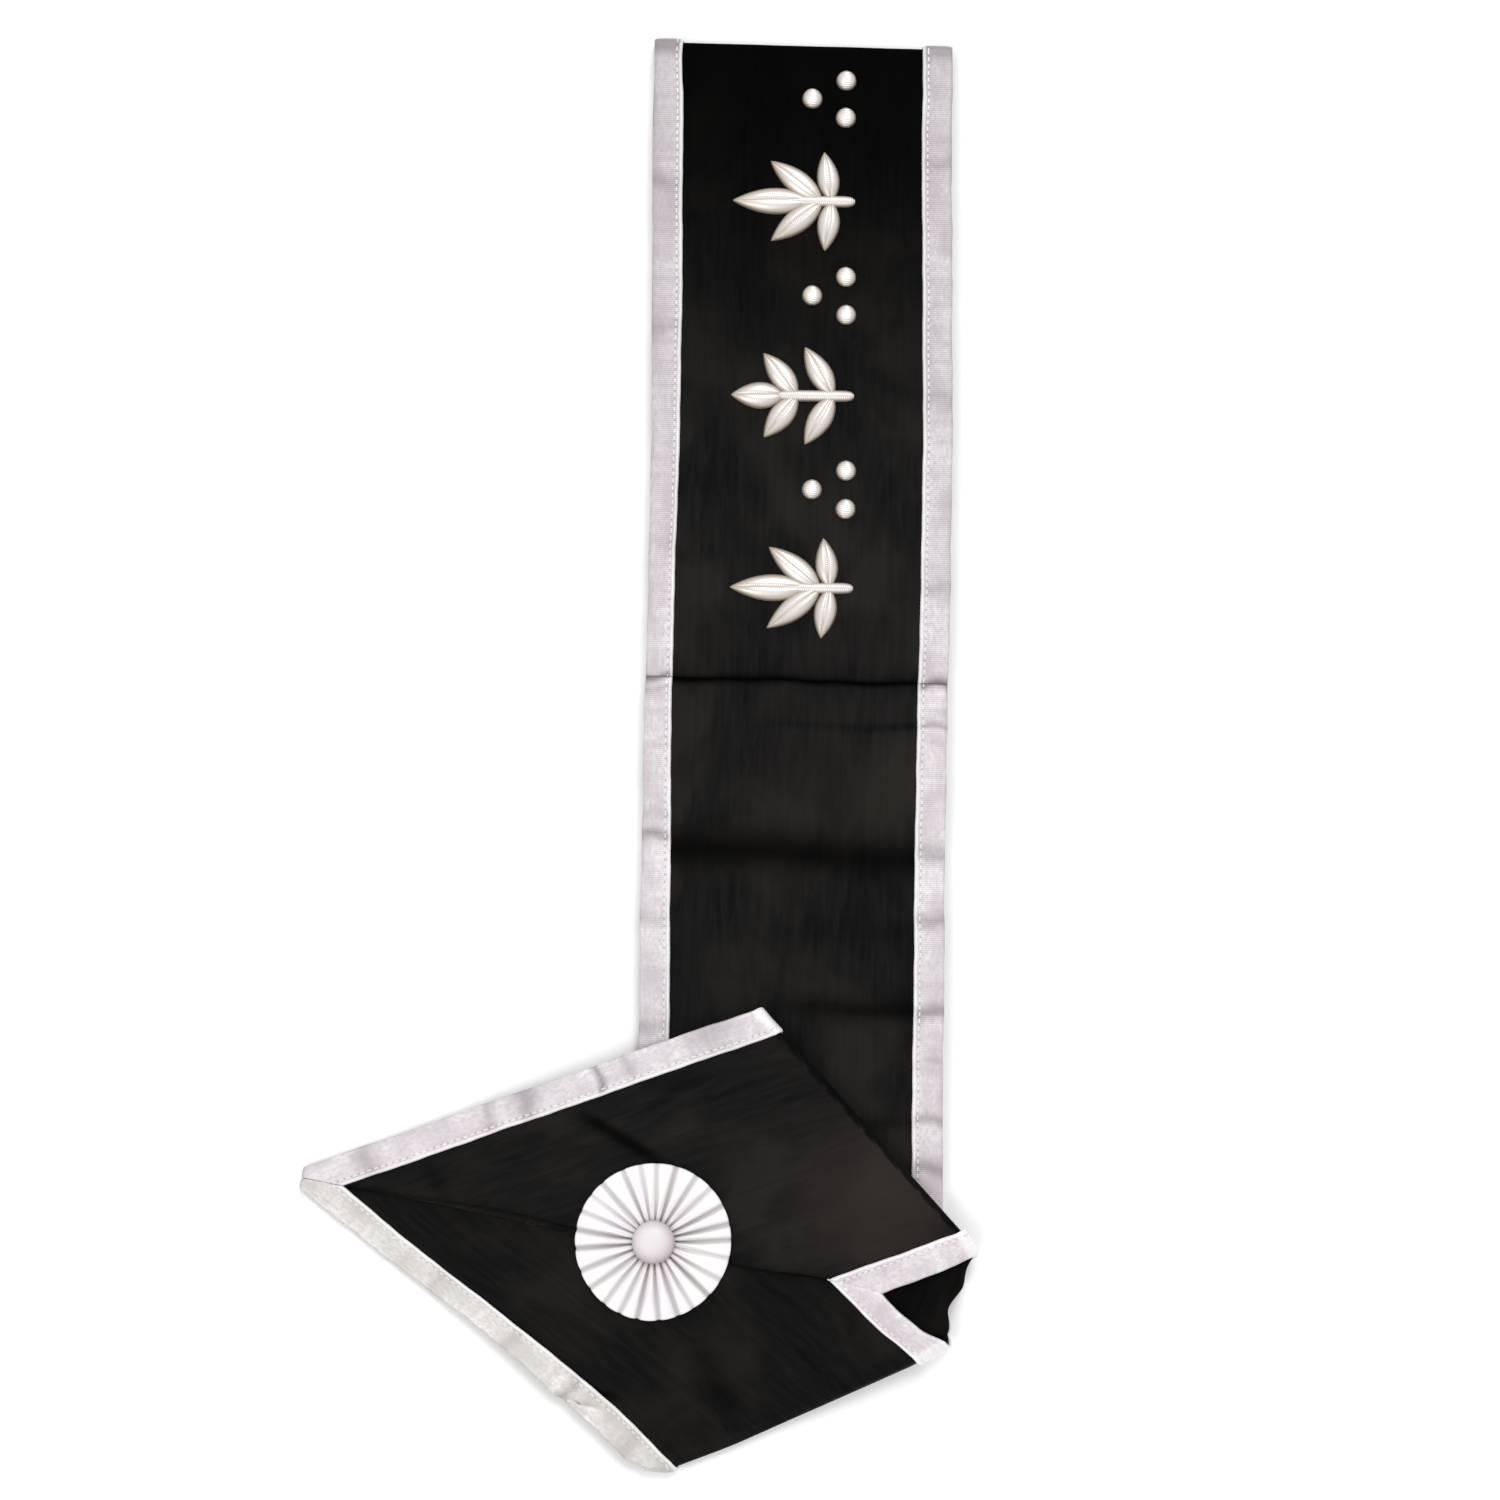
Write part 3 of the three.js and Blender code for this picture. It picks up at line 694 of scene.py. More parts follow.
def border_tone(arm, side, u, v):
    """Painted shade of a border from its cross creases and towards the neck, painted highlight
    below 0 on its fold bends, and the creases' depth.
    """
    from_neck = -past(arm.folds[-1], u, v)
    before_folds = past(arm.folds[0], u, v) < 0
    # A little painted shade before the folds, more past them
    shade_and_light = np.where(before_folds, BORDER_POINT_SHADE, BORDER_RETURN_SHADE)
    depth = np.zeros_like(u)
    sway = MARK_SWAY["height"] * np.sin(v * MARK_SWAY["across"] + u * MARK_SWAY["along"])
    # Painted shade in the cross creases
    for measured, place in (("neck", from_neck), ("point", np.where(before_folds, u, np.inf))):
        for at, width, deep, dark in BORDER_MARKS.get((arm.name, side, measured), []):
            shape = np.exp(-(((place + sway - at) / width) ** 2))
            shade_and_light += dark * shape
            depth += deep * shape
    # Painted highlight on the bends of the folds
    if (arm.name, side) != ("left", "outer"):
        for fold in arm.folds[:-1]:
            half = fold.length / 2
            off = (past(fold, u, v) - half) / (half + FOLD_HIGHLIGHT["margin"])
            shade_and_light -= FOLD_HIGHLIGHT["share"] * np.exp(-(off**4))
    # Painted shade on the neck's bend
    shade_and_light += NECK_BEND_SHADE["share"] * np.exp(-((from_neck / NECK_BEND_SHADE["reach"]) ** 2))
    # Painted shade that grows towards the neck
    shade_and_light += NECK_SHADE["border"] * smooth(1 - from_neck / NECK_SHADE["border_reach"])
    return shade_and_light, depth


def narrowed(arm, side, u, v):
    """Rows of a border with its inner edge drawn outwards where it is sewn on narrower."""
    from_neck = -past(arm.folds[-1], u, v)
    inward = (HALF - np.abs(v)) / BORDER_WIDTH
    drawn = np.zeros_like(u)
    for name, row_side, at, width, amount in NARROWED:
        if (name, row_side) == (arm.name, side):
            drawn += amount * np.exp(-(((from_neck - at) / width) ** 2))
    return v + np.sign(v) * drawn * inward


def edge_pucker(u, v):
    """Small puckers near the ribbon's edges, where the borders are sewn on."""
    near = smooth(1 - (HALF - np.abs(v)) / EDGE_PUCKER_REACH)
    return near * sum(
        height * np.sin(2 * math.pi * u / length + phase + EDGE_PUCKER_SHIFT * np.sign(v))
        for height, length, phase in EDGE_PUCKERS
    )


def strip_faces(rows, columns):
    """Faces of a strip whose rows each run round it, with a cap at either end, as a list."""
    j = np.arange(columns // 2 - 1)
    opposite = columns - 1 - j
    caps = [
        np.stack([first + j, first + j + 1, first + opposite - 1, first + opposite], -1)
        for first in (0, (rows - 1) * columns)
    ]
    caps[1] = caps[1][:, ::-1]
    return np.concatenate([grid_faces(rows, columns, wrap=True), *caps]).tolist()


def strip(name, arm, edges, heights, count, crown, material, replaced, side=None):
    """A closed strip of cloth over part of an arm's width, with rounded edges."""
    (low_v, high_v), (low, high) = edges, heights
    radius = (high - low) / 2
    v = rounded_rows(low_v, high_v, radius, count)
    share = edge_share(v, low_v, high_v, radius)
    swell = crown * (1 - ((2 * v - low_v - high_v) / (high_v - low_v)) ** 4)
    upper = (low + high) / 2 + radius * share - crown + swell
    lower = (low + high) / 2 - radius * share
    u = LINES[arm.name](v)
    if side:
        shade_and_light, depth = border_tone(arm, side, u, v)
        upper = upper - depth
        sewn_v = narrowed(arm, side, u, v)
    else:
        shade_and_light = cloth_shade(arm, u, v)
        sewn_v = np.broadcast_to(v, u.shape)
    pucker = edge_pucker(u, v)
    loop_u = np.concatenate([u, u[:, ::-1]], 1)
    loop_v = np.concatenate([sewn_v, sewn_v[:, ::-1]], 1)
    flat_v = np.broadcast_to(np.concatenate([v, v[::-1]]), loop_u.shape)
    over = np.concatenate([upper + pucker, (lower + pucker * UNDER_PUCKER)[:, ::-1]], 1)
    points = on_arm(arm, loop_u, loop_v, over)
    points[..., 2] = np.maximum(points[..., 2], 0)
    flat = np.stack([loop_u, flat_v, over], -1)
    piece = make_piece(name, points, strip_faces(*loop_u.shape), material, replaced, flat)
    # Painted shade for the material, and painted light below 0
    add_value(piece, "shade_and_light", np.concatenate([shade_and_light, shade_and_light[:, ::-1]], 1))
    return piece


# Scales of the materials' patterns, in cells a metre along the ribbon, across it and through it
MOIRE_SCALES = dict(
    water=(13, 170, 0), patches=(26, 34, 0), warp=(6, 800, 0),
    slubs=(70, 420, 0), weft=(1700, 0, 0), fibre=(900, 4200, 0),
)
SILVER_SCALES = dict(
    mottle=(50, 110, 0), grain=(520, 900, 0), streaks=(230, 24, 0),
    threads=(1500, 0, 0), glints=(1800, 3200, 0),
)
BULLION_SCALES = dict(patches=(300, 300, 300), fibre=(2400, 2400, 2400))
SATIN_SCALES = dict(patches=(60, 90, 60), threads=(2200, 0, 0), weave=(1500, 1500, 1500))
# Their colours, some of them along a pattern or a stored value
MOIRE_PATCHES = [
    (0.38, (0.0018, 0.0017, 0.0020)),
    (0.5, (0.0055, 0.0050, 0.0045)),
    (0.62, (0.0150, 0.0132, 0.0108)),
]
# The lustre colour is a painted sheen, shade is painted shade, and the last one is brownish painted
# light
MOIRE_COLOURS = dict(
    lustre=(0.018, 0.016, 0.016), warp=(0.003, 0.003, 0.003), slubs=(0.015, 0.014, 0.013),
    shade=(0.001, 0.001, 0.001), painted_light=(0.032, 0.0255, 0.0225),
)
# Painted highlight of a border's fold bend
SILVER_HIGHLIGHT = (0.95, 0.95, 0.95)
SILVER_EDGE = (0.93, 0.92, 0.93)
# Painted shade of the bullion by the rise of its padding, dark tan at the sunken edge and pale on
# the crown
BULLION_RISE = [
    (0.0, (0.17, 0.14, 0.09)),
    (0.35, (0.35, 0.30, 0.23)),
    (0.7, (0.58, 0.525, 0.47)),
    (1.0, (0.78, 0.75, 0.74)),
]
BULLION_TAN = (0.60, 0.53, 0.48)
SATIN_PATCHES = [
    (0.3, (0.78, 0.74, 0.79)),
    (0.5, (0.84, 0.82, 0.83)),
    (0.7, (0.86, 0.85, 0.82)),
]
# Painted shade in the pleat valleys of the rosette
SATIN_VALLEY = (0.38, 0.355, 0.36)
# Painted shade of the button, dark pinkish grey at its edge and pale on its top
BUTTON_RISE = [
    (0.0, (0.24, 0.19, 0.205)),
    (0.4, (0.45, 0.39, 0.41)),
    (0.85, (0.63, 0.58, 0.60)),
    (1.0, (0.69, 0.66, 0.67)),
]
# The wave texture's own scale at which it makes one rib for each unit of its place
RIB_SCALE = 0.314


def connect(tree, socket, value):
    """Links a socket to another one, or sets it to a colour or a number."""
    if isinstance(value, bpy.types.NodeSocket):
        tree.links.new(value, socket)
    else:
        socket.default_value = (*value, 1.0) if isinstance(value, tuple) else value


def wire(tree, inputs):
    """Links or sets the shader's own inputs."""
    for name, value in inputs.items():
        connect(tree, tree.nodes["Principled BSDF"].inputs[name], value)


def shader(name, roughness, metallic=0.0, specular=0.5, sheen=0.0):
    """A new material and its node tree, with the plain numbers on the shader's own sockets."""
    material = bpy.data.materials.new(name)
    material.use_nodes = True
    wire(material.node_tree, {
        "Roughness": roughness, "Metallic": metallic,
        "Specular IOR Level": specular, "Sheen Weight": sheen,
    })
    return material, material.node_tree


def add_node(tree, kind, output, inputs, **settings):
    """One output of a new node, with its settings, and its inputs linked or set."""
    node = tree.nodes.new(f"ShaderNode{kind}")
    for name, value in settings.items():
        setattr(node, name, value)
    for name, value in inputs.items():
        connect(tree, node.inputs[name], value)
    return node.outputs[output]


def value_of(tree, name, output="Fac"):
    """A number or vector stored on the piece's points."""
    return add_node(tree, "Attribute", output, {}, attribute_name=name)


def flat_place(tree, scale):
    """The flat place on the ribbon, scaled along and across it."""
    inputs = {0: value_of(tree, "flat", "Vector"), 1: Vector(scale)}
    return add_node(tree, "VectorMath", 0, inputs, operation="MULTIPLY")


def noise(tree, scale, detail, distortion=0.0):
    """Soft noise over the flat place."""
    place = flat_place(tree, scale)
    inputs = {"Vector": place, "Scale": 1.0, "Detail": detail, "Distortion": distortion}
    return add_node(tree, "TexNoise", "Fac", inputs)


def ribs(tree, scale, distortion=0.0):
    """Even ribs along the ribbon, one for each cell."""
    inputs = {"Vector": flat_place(tree, scale), "Scale": RIB_SCALE, "Distortion": distortion}
    return add_node(tree, "TexWave", "Fac", inputs, wave_type="BANDS", bands_direction="X")


def ramp(tree, value, stops):
    """Colours along a value, from rows of position and colour, or of position and grey."""
    node = tree.nodes.new("ShaderNodeValToRGB")
    elements = node.color_ramp.elements
    while len(elements) < len(stops):
        elements.new(0.5)
    for element, (position, colour) in zip(elements, stops):
        element.position = position
        element.color = (*colour, 1.0) if isinstance(colour, tuple) else (colour,) * 3 + (1.0,)
    tree.links.new(value, node.inputs["Fac"])
    return node.outputs["Color"]


def mix(tree, share, first, second):
    """Mixes two colours by a share."""
    return add_node(tree, "Mix", 2, {0: share, 6: first, 7: second}, data_type="RGBA")


def reckon(tree, operation, first, second=0.0):
    """One step of arithmetic on sockets or numbers."""
    return add_node(tree, "Math", 0, {0: first, 1: second}, operation=operation)


def bump(tree, height, strength, distance, **normal):
    """A normal that a height disturbs, over another one if there is a Normal."""
    inputs = {"Height": height, "Strength": strength, "Distance": distance, **normal}
    return add_node(tree, "Bump", "Normal", inputs)


def mapped(tree, value, low, high, start=0.0, end=1.0):
    """Maps a value from start to end onto low to high, and no further."""
    inputs = {"Value": value, "From Min": start, "From Max": end, "To Min": low, "To Max": high}
    return add_node(tree, "MapRange", "Result", inputs)


def moire_material():
    """Black ribbon with fine cross ribs and a faint watermark stretched along it, a painted sheen
    on the watermark, and painted shade and painted light from a stored value.
    """
    material, tree = shader("black_moire", 0.5, specular=0.05, sheen=0.01)
    scales, colours = MOIRE_SCALES, MOIRE_COLOURS
    water = noise(tree, scales["water"], detail=3, distortion=0.8)
    contours = ramp(tree, water, [(0.38, 0), (0.44, 1), (0.48, 0.1), (0.55, 1), (0.62, 0)])
    patches = noise(tree, scales["patches"], detail=4, distortion=0.4)
    tint = ramp(tree, patches, MOIRE_PATCHES)
    # Painted sheen along the watermark's contours
    lustrous = mix(tree, mapped(tree, contours, 0.0, 0.2), tint, colours["lustre"])
    warp = noise(tree, scales["warp"], detail=2)
    lined = mix(tree, mapped(tree, warp, 0.0, 0.6), lustrous, colours["warp"])
    slubs = ramp(tree, noise(tree, scales["slubs"], detail=3), [(0.42, 0), (0.7, 0.3)])
    uneven = mix(tree, slubs, lined, colours["slubs"])
    shade = value_of(tree, "shade_and_light")
    # Painted shade from the stored value
    shaded = mix(tree, shade, uneven, colours["shade"])
    # Painted light, brownish, where the stored value is below 0
    painted_light = mix(tree, mapped(tree, shade, 0, 1, end=-1), shaded, colours["painted_light"])
    weft = bump(tree, ribs(tree, scales["weft"]), strength=0.22, distance=0.00012)
    fibre = noise(tree, scales["fibre"], detail=1)
    woven = bump(tree, fibre, strength=0.2, distance=0.00006, Normal=weft)
    wire(tree, {
        "Base Color": painted_light, "Normal": woven, "Roughness": mapped(tree, contours, 0.58, 0.53),
        "Specular IOR Level": mapped(tree, shade, 0.05, 0.0),
    })
    return material


def from_inner_edge(tree):
    """Distance from a border's inner edge, in metres."""
    split = tree.nodes.new("ShaderNodeSeparateXYZ")
    tree.links.new(value_of(tree, "flat", "Vector"), split.inputs[0])
    from_middle = reckon(tree, "ABSOLUTE", split.outputs["Y"])
    return reckon(tree, "SUBTRACT", from_middle, (HALF - BORDER_WIDTH) * MM)


def stitches(tree, inset):
    """Share of the stitched line, and of the threads that show along it."""
    off_line = reckon(tree, "SUBTRACT", inset, STITCH_INSET * MM)
    off_line = reckon(tree, "ABSOLUTE", off_line)
    width = STITCH_WIDTH * MM
    line = mapped(tree, off_line, 0.0, 1.0, start=0.75 * width, end=0.25 * width)
    threads = ramp(tree, ribs(tree, (1 / (STITCH_PITCH * MM), 0, 0)), [(0.2, 0), (0.4, 1)])
    return line, reckon(tree, "MULTIPLY", line, threads)


def silver_material(name, pale, dark, thread_dark_and_shade):
    """Silver lame ribbon: cross ribs, cross streaks, a soft mottle, painted shade in its creases
    and towards the neck, and a painted highlight on its fold bends.
    """
    material, tree = shader(name, 0.42, metallic=0.2, specular=0.4, sheen=0.1)
    scales = SILVER_SCALES
    mottle = noise(tree, scales["mottle"], detail=4)
    grain = noise(tree, scales["grain"], detail=3)
    grained = mix(tree, ramp(tree, grain, [(0.4, 0), (0.7, 0.7)]), pale, dark)
    mottled = mix(tree, ramp(tree, mottle, [(0.36, 0.75), (0.6, 0)]), grained, dark)
    streaks = noise(tree, scales["streaks"], detail=3)
    streaked = mix(tree, ramp(tree, streaks, [(0.45, 0), (0.75, 0.7)]), mottled, dark)
    threads = ribs(tree, scales["threads"], distortion=0.6)
    woven = mix(tree, mapped(tree, threads, 0.0, 0.12), streaked, thread_dark_and_shade)
    shade_and_light = value_of(tree, "shade_and_light")
    # Painted shade of the creases and towards the neck, from the stored value
    creased = mix(tree, shade_and_light, woven, thread_dark_and_shade)
    # Painted highlight on the fold bends, where the stored value is below 0
    highlighted = mix(tree, mapped(tree, shade_and_light, 0, 1, end=-1), creased, SILVER_HIGHLIGHT)
    inset = from_inner_edge(tree)
    width = SELVEDGE * MM
    edge = mix(tree, mapped(tree, inset, 0.0, 0.6, width, 0.4 * width), highlighted, SILVER_EDGE)
    line, thread = stitches(tree, inset)
    raised = reckon(tree, "MULTIPLY", thread, 0.8)
    sewn = mix(tree, raised, mix(tree, reckon(tree, "MULTIPLY", line, 0.3), edge, thread_dark_and_shade), pale)
    glints = mapped(tree, noise(tree, scales["glints"], detail=1), 0.3, 0.6)
    ribbed = bump(tree, threads, strength=0.3, distance=0.00012)
    crumpled = bump(tree, streaks, strength=0.3, distance=0.0006, Normal=ribbed)
    sunk = reckon(tree, "SUBTRACT", raised, line)
    stitched = bump(tree, sunk, strength=0.4, distance=0.0003, Normal=crumpled)
    wire(tree, {"Base Color": sewn, "Roughness": glints, "Normal": stitched})
    return material


def bullion_material():
    """Padded silver thread, with painted shade that turns it from pale on the crown to tan towards
    its sunken edge.
    """
    material, tree = shader("silver_bullion", 0.34, metallic=0.45, specular=0.5)
    # Painted shade by the rise of the padding
    shaded_by_rise = ramp(tree, value_of(tree, "rise"), BULLION_RISE)
    patches = noise(tree, BULLION_SCALES["patches"], detail=2)
    colour = mix(tree, mapped(tree, patches, 0.0, 0.35), shaded_by_rise, BULLION_TAN)
    fibre = noise(tree, BULLION_SCALES["fibre"], detail=1)
    normal = bump(tree, fibre, strength=0.15, distance=0.00008)
    wire(tree, {"Base Color": colour, "Normal": normal})
    return material


def satin_material():
    """White silver satin with radial threads, with painted shade that greys the valleys of its
    pleats.
    """
    material, tree = shader("white_satin", 0.36, specular=0.45, sheen=0.15)
    tint = ramp(tree, noise(tree, SATIN_SCALES["patches"], detail=2), SATIN_PATCHES)
    # Painted shade in the valleys, the fine folds and towards the middle
    folded = ramp(tree, value_of(tree, "valley"), [(0.1, 0), (0.5, 0.5), (1.0, 0.9)])
    colour = mix(tree, folded, tint, SATIN_VALLEY)
    threads = ribs(tree, SATIN_SCALES["threads"], distortion=0.4)
    normal = bump(tree, threads, strength=0.1, distance=0.00008)
    wire(tree, {"Base Color": colour, "Normal": normal})
    return material


def button_material():
    """Pearly satin drawn over the button, with painted shade that darkens it to pinkish grey
    towards its edge, and painted light on one side.
    """
    material, tree = shader("button_satin", 0.42, specular=0.35, sheen=0.05)
    # Painted shade and painted light, from the stored rise
    tint = ramp(tree, value_of(tree, "rise"), BUTTON_RISE)
    weave = noise(tree, SATIN_SCALES["weave"], detail=1)
    normal = bump(tree, weave, strength=0.15, distance=0.0001)
    wire(tree, {"Base Color": tint, "Normal": normal})
    return material


MOIRE = moire_material()
# The last colour darkens the threads and the stitch line, and is also the painted shade of the
# creases and towards the neck
SILVER = silver_material(
    "silver_lame", pale=(0.77, 0.755, 0.77), dark=(0.53, 0.47, 0.505), thread_dark_and_shade=(0.18, 0.155, 0.17)
)
SILVER_WORN = silver_material(
    "silver_lame_worn", pale=(0.76, 0.745, 0.735), dark=(0.50, 0.48, 0.455), thread_dark_and_shade=(0.22, 0.20, 0.18)
)
BULLION = bullion_material()
SATIN = satin_material()
BUTTON_SATIN = button_material()


def ribbon_arms():
    """Both ribbon arms and their borders."""
    for arm, under in ((RIGHT, "ribbon_left_arm"), (LEFT, "floor")):
        outer = 1 if arm is RIGHT else -1
        cloth = strip(
            f"ribbon_{arm.name}_arm_cloth", arm, (CLOTH_INSET - HALF, HALF - CLOTH_INSET),
            (-HALF_THICK, HALF_THICK), CLOTH_ROWS, 0.0, MOIRE,
            [f"ribbon_{arm.name}_arm"],
        )
        for side, sign in (("outer", outer), ("inner", -outer)):
            border = strip(
                f"{side}_border_{arm.name}_arm_lame", arm,
                sorted((sign * (HALF - BORDER_WIDTH), sign * HALF)),
                (SEWN_LOW, BORDER_HIGH), BORDER_ROWS, BORDER_CROWN,
                SILVER_WORN if (side, arm) == ("outer", LEFT) else SILVER,
                [f"{side}_border_{arm.name}_arm"], side,
            )


def leaf_width(s):
    """Share of a leaf's full width at a share of its length."""
    return np.sin(math.pi * np.clip(s, 0, 1) ** 0.86) ** 0.8


def stem_width(s):
    """The same for a stem, blunt at both ends."""
    return (1 - np.abs(2 * s - 1) ** 10) ** 0.5


def round_width(s):
    """The same for a round dot."""
    return np.sqrt(np.clip(1 - (2 * s - 1) ** 2, 0, 1))


def padded_stitch(length, width, crown, profile, slant=0.0, rib=0.0):
    """Points, faces and rise of one padded shape, wound across with threads."""
    steps = int(round(length / THREAD_PITCH)) * THREAD_STEPS
    crowded = (1 - np.cos(np.linspace(END_ANGLE, math.pi - END_ANGLE, steps))) / 2
    s = crowded * END_CROWDING + np.linspace(0, 1, steps) * (1 - END_CROWDING)
    s = np.clip(s, END_INSET, 1 - END_INSET)
    t = np.sin(np.linspace(-math.pi / 2, math.pi / 2, PAD_COLUMNS))
    grid_s, grid_t = np.meshgrid(s, t, indexing="ij")
    half_width = profile(grid_s) * width / 2
    dome = np.sqrt(np.clip(1 - np.abs(grid_t) ** 2.4, 0, 1))
    body = crown * profile(grid_s) ** 0.6 * dome
    body = body * (1 - rib * np.exp(-((grid_t / RIB_WIDTH) ** 2)))
    phase = (grid_s * length - np.abs(grid_t) * half_width * slant) / THREAD_PITCH
    thread = THREAD_RISE * (np.abs(np.sin(math.pi * phase)) - THREAD_LEVEL) * dome
    points = np.stack([grid_t * half_width, grid_s * length, np.maximum(body + thread, 0.0)], -1)
    rows, columns = grid_s.shape
    first = np.arange(rows - 1) * columns
    last = first + columns - 1
    under = np.stack([first, last, last + columns, first + columns], -1)
    faces = np.concatenate([grid_faces(rows, columns)[:, ::-1], under]).tolist()
    base = (rows - 1) * columns
    faces += [[0, k, k + 1] for k in range(1, columns - 1)]
    faces += [[base, base + k + 1, base + k] for k in range(1, columns - 1)]
    return points.reshape(-1, 3), faces, body.ravel() / crown


def turned(points, angle, base):
    """Leaf points turned about the stem and moved to their base on it."""
    cos, sin = math.cos(math.radians(angle)), math.sin(math.radians(angle))
    x = points[:, 0] * cos - points[:, 1] * sin
    y = points[:, 0] * sin + points[:, 1] * cos + base
    return np.stack([x, y, points[:, 2]], -1)


def stitched_piece(node, parts, place):
    """Padded shapes as one piece, set in place over the ribbon."""
    points = np.concatenate([part[0] for part in parts])
    faces, count = [], 0
    for part_points, part_faces, _ in parts:
        faces += [[count + k for k in face] for face in part_faces]
        count += len(part_points)
    piece = make_piece(
        f"{node}_bullion", place(*points.T), faces, BULLION, [node], points
    )
    add_value(piece, "rise", np.concatenate([part[2] for part in parts]))


def motif(name, at, across, sprig):
    """Leaf sprig in padded thread, across the ribbon."""
    parts = [padded_stitch(STEM["length"], STEM["width"], STEM["crown"], stem_width)]
    for base, angle, length, width in LEAVES[sprig]:
        leaf = padded_stitch(length, width, MOTIF_CROWN, leaf_width, LEAF_SLANT, LEAF_RIB)
        for side in sorted({angle, -angle}, reverse=True):
            parts.append((turned(leaf[0], side, base), *leaf[1:]))
    crosswise = on_bare_arm(at, across)
    stitched_piece(
        f"motif_{name}", parts, lambda x, y, z: crosswise(MOTIF_LENGTH / 2 - y, x, z)
    )


def dots():
    """Three trios of round padded dots."""
    for name, at, across in DOT_TRIOS:
        for index, (aside, along) in enumerate(TRIO_PLACES):
            points, faces, rise = padded_stitch(
                2 * DOT_RADIUS, 2 * DOT_RADIUS, DOT_HEIGHT, round_width
            )
            centred = points - np.array([0, DOT_RADIUS, 0])
            place = on_bare_arm(at - along, across + aside)
            stitched_piece(f"dot_{name}_{index + 1}", [(centred, faces, rise)], place)


def pleat_valleys(share, theta):
    """Depth of the rosette's valleys, from 0 to 1, at a share of its width and an angle."""
    rng = np.random.default_rng(7)
    pleats = ROSETTE["pleats"]
    valley = np.zeros_like(share)
    for pleat in range(pleats):
        stray = rng.uniform(-PLEAT["stray"], PLEAT["stray"])
        centre = (pleat + stray) * 2 * math.pi / pleats
        lean = rng.uniform(-PLEAT["lean"], PLEAT["lean"])
        depth = rng.uniform(PLEAT["shallowest"], 1.0)
        off = theta - centre - lean * (share - 0.5)
        off = np.abs((off + math.pi) % (2 * math.pi) - math.pi) * pleats / (2 * math.pi)
        half_width = PLEAT["width"] + PLEAT["pinch"] * (1 - share)
        fold = np.exp(-np.abs(off / half_width) ** 1.5)
        slope = PLEAT_SLOPE["share"] * np.exp(-((off / PLEAT_SLOPE["width"]) ** 2))
        valley = np.maximum(valley, depth * np.maximum(fold, slope))
    return valley


def rosette():
    """Pleated satin disc: narrow valleys between broad ridges, pinched under the button."""
    pleats, rings = ROSETTE["pleats"], ROSETTE["rings"]
    angle = np.linspace(0, 2 * math.pi, pleats * PLEAT["points"], endpoint=False)
    share, theta = np.meshgrid(np.linspace(0, 1, rings) ** 0.9, angle, indexing="ij")
    valley = pleat_valleys(share, theta)
    fine = (1 - share) ** 1.5 * (0.5 + 0.5 * np.cos(2 * pleats * theta + 4 * share))
    arch = np.sin(math.pi * (share * ARCH["run"] + ARCH["start"]))
    crown = ARCH["least"] + (1 - ARCH["least"]) * arch
    hem = smooth((share - HEM["start"]) / HEM["fall"]) * smooth((HEM["end"] - share) / HEM["rise"])
    height = ROSETTE["ridge"] * crown - HEM["depth"] * hem - FINE_DEPTH * fine
    height = np.maximum(height - PLEAT_DEPTH * valley * (0.35 + 0.65 * crown), ROSETTE_BACK)
    height = np.where(share > RIM["start"], height - RIM["drop"], height)
    outer = ROSETTE["radius"] * (1 + OVAL * np.cos(2 * (theta - math.pi / 4)))
    radius = ROSETTE["seat"] + (outer - ROSETTE["seat"]) * share
    radius = radius - SCALLOP * valley * smooth((share - 0.9) / 0.1)
    x, y = ROSETTE["x"] + radius * np.cos(theta), ROSETTE["y"] + radius * np.sin(theta)
    top = on_panel(x, y, ROSETTE_LOW + height)
    low = on_panel(x, y, np.full_like(x, ROSETTE_LOW - ROSETTE_BACK))
    flat = np.stack([theta * ROSETTE["radius"], radius, height], -1)
    faces = grid_faces(2 * rings, len(angle), wrap=True, closed=True).tolist()
    piece = make_piece(
        "rosette_pleated_satin", np.concatenate([top, low[::-1]]), faces, SATIN,
        ["rosette_pleats"], np.concatenate([flat, flat[::-1]]),
    )
    # Painted shade: the valleys, the fine folds and a little towards the middle
    shade = np.clip(valley + 0.4 * fine + 0.05 * (1 - share), 0, 1)
    add_value(piece, "valley", np.concatenate([shade, shade[::-1]]))


def button():
    """Domed button with satin drawn over it, gathered at its edge."""
    rings, spokes = BUTTON_CUTS["rings"], BUTTON_CUTS["spokes"]
    angle = np.linspace(0, 2 * math.pi, spokes, endpoint=False)
    turn = np.linspace(-BUTTON["under"], math.pi / 2 - BUTTON["flat"], rings)
    turn, angle = np.meshgrid(turn, angle, indexing="ij")
    near_edge = smooth((GATHERS["top"] - turn) / GATHERS["run"])
    waves = np.cos(GATHERS["count"] * angle) * near_edge
    radius = BUTTON["radius"] * np.cos(turn) ** 0.8 * (1 + GATHERS["depth"] * waves)
    height = BUTTON["edge"] + (BUTTON["height"] - BUTTON["edge"]) * np.sin(turn)
    x, y = radius * np.cos(angle), radius * np.sin(angle)
    points = on_panel(ROSETTE["x"] + x, ROSETTE["y"] + y, BUTTON["low"] + height)
    faces = grid_faces(rings, spokes, wrap=True)[:, ::-1].tolist()
    faces.append(list(reversed(range(spokes))))
    faces.append([(rings - 1) * spokes + k for k in range(spokes)])
    piece = make_piece(
        "rosette_covered_button", points, faces, BUTTON_SATIN,
        ["rosette_button"], np.stack([x, y, height], -1),
    )
    # Painted light on the side towards the lamp, and painted shade towards the edge
    lit = BUTTON_LIGHT["share"] * (y - BUTTON_LIGHT["aside"] * x) / BUTTON["radius"]
    add_value(piece, "rise", (np.sin(turn) + 0.3) / 1.3 + lit)


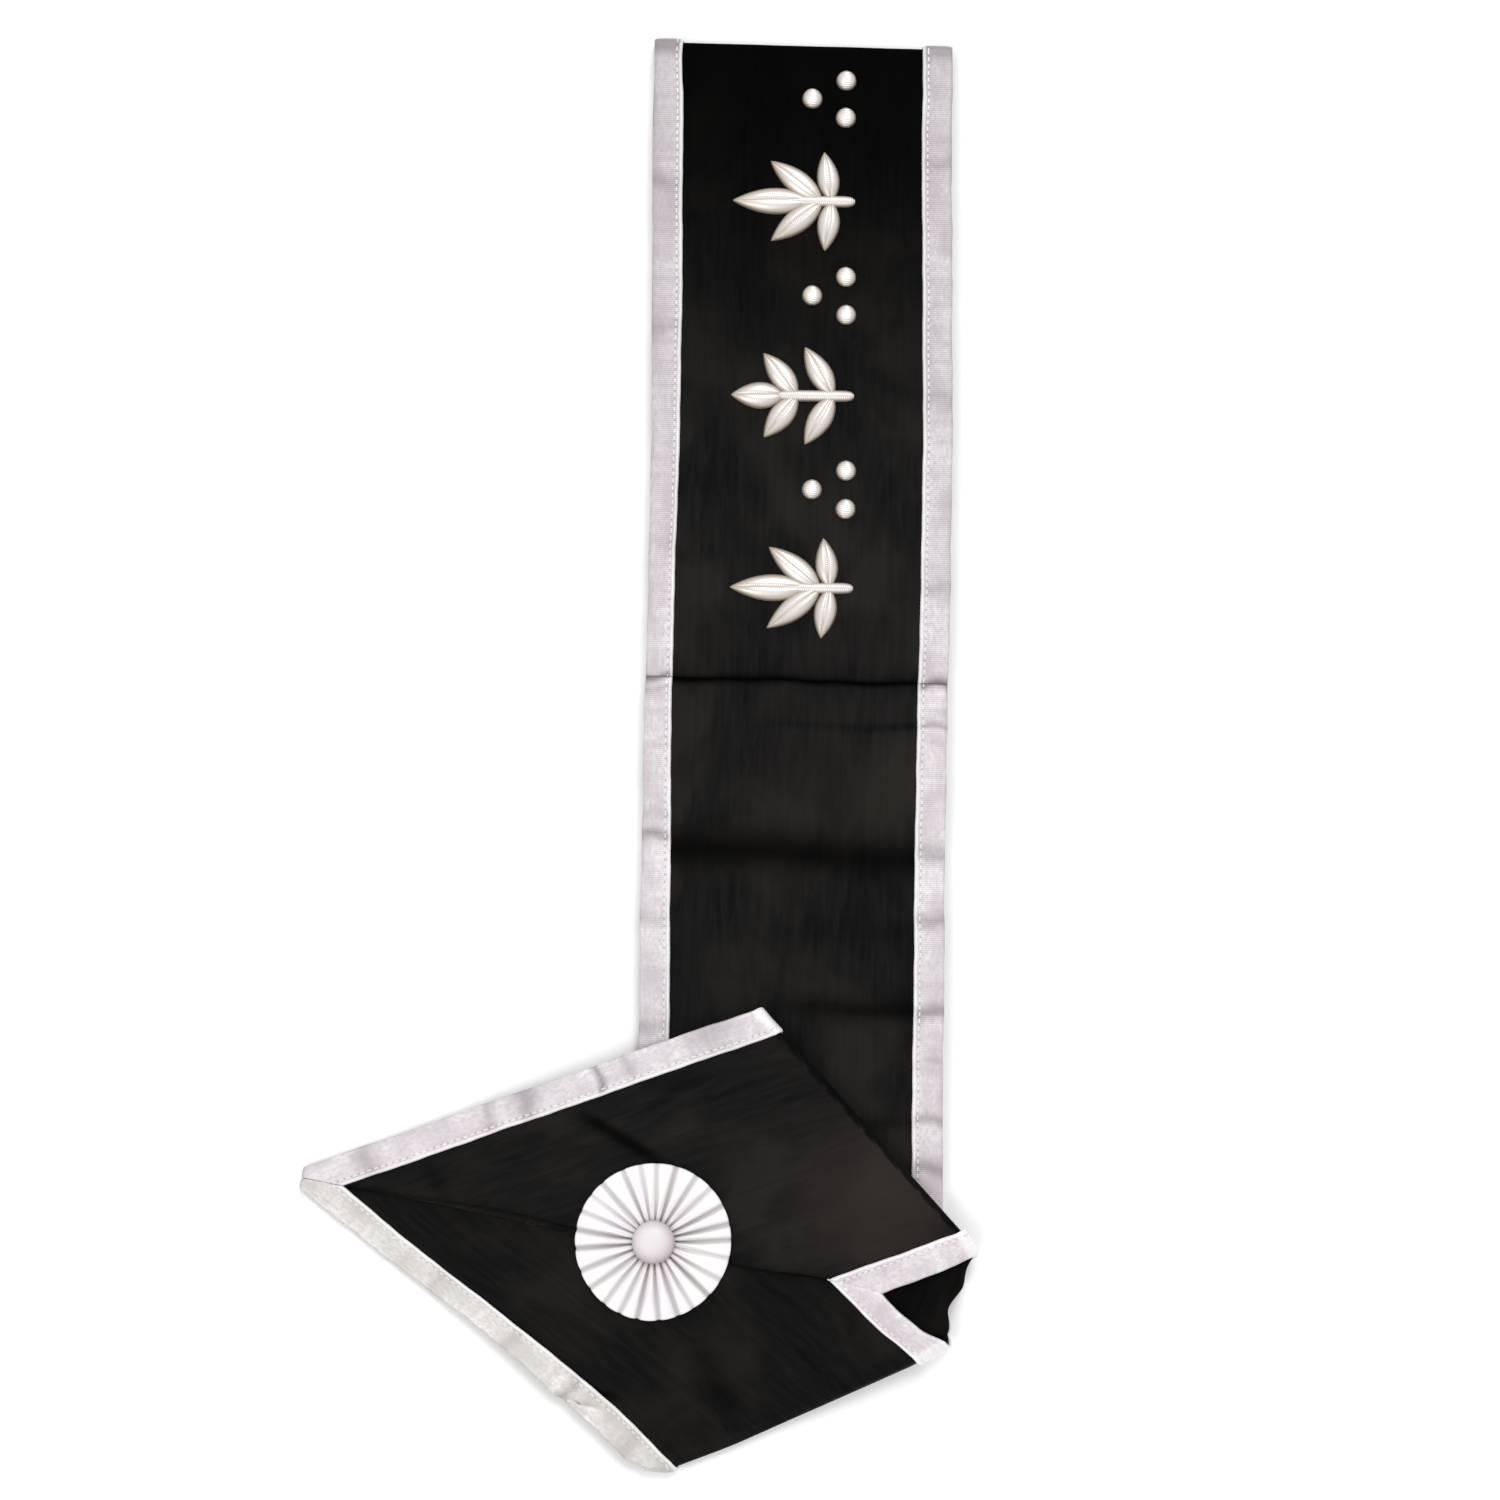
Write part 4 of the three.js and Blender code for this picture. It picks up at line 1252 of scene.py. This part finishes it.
def make_floor():
    """A pale floor just under the collar."""
    bpy.ops.mesh.primitive_plane_add(size=12, location=(0, 0, -0.0001))
    floor = bpy.context.object
    floor.name = "floor"
    material, tree = shader("pale_floor", 0.85, specular=0.1)
    wire(tree, {"Base Color": (0.94, 0.94, 0.94)})
    floor.data.materials.append(material)


def area_light(name, place, size, power, colour=(1, 1, 1)):
    """A round lamp that shines on the middle of the collar."""
    light = bpy.data.lights.new(name, "AREA")
    light.shape = "DISK"
    light.size = size
    light.energy = power
    light.color = colour
    lamp = bpy.data.objects.new(name, light)
    lamp.location = place
    target = Vector((AIM[0] * MM, AIM[1] * MM, 0))
    lamp.rotation_mode = "QUATERNION"
    lamp.rotation_quaternion = (target - Vector(place)).to_track_quat("-Z", "Y")
    bpy.context.scene.collection.objects.link(lamp)


def make_lights():
    """An even white room, with a large key lamp and a weaker fill."""
    world = bpy.data.worlds.new("studio")
    world.use_nodes = True
    inputs = world.node_tree.nodes["Background"].inputs
    inputs["Color"].default_value = (1, 1, 1, 1)
    inputs["Strength"].default_value = ROOM_LIGHT
    bpy.context.scene.world = world
    area_light("key", (0.8, 2.4, 3.6), size=2.2, power=84)
    area_light("fill", (-1.6, -1.8, 3.2), size=2.4, power=45, colour=(1.0, 0.98, 0.96))


def make_camera():
    """The photograph's view, from almost straight above."""
    camera = bpy.data.cameras.new("camera")
    camera.sensor_width = SENSOR_WIDTH
    camera.lens = PIXELS_PER_MM * CAMERA_DISTANCE * SENSOR_WIDTH / FRAME_PIXELS
    holder = bpy.data.objects.new("camera", camera)
    back = Vector((0, -math.sin(CAMERA_TILT), math.cos(CAMERA_TILT)))
    holder.location = Vector((AIM[0] * MM, AIM[1] * MM, 0)) + back * CAMERA_DISTANCE * MM
    holder.rotation_mode = "QUATERNION"
    holder.rotation_quaternion = (-back).to_track_quat("-Z", "Y")
    bpy.context.scene.collection.objects.link(holder)
    bpy.context.scene.camera = holder


ribbon_arms()
for row in MOTIFS:
    motif(*row)
dots()
rosette()
button()
make_floor()
make_lights()
make_camera()
bpy.context.scene.view_settings.view_transform = "Standard"
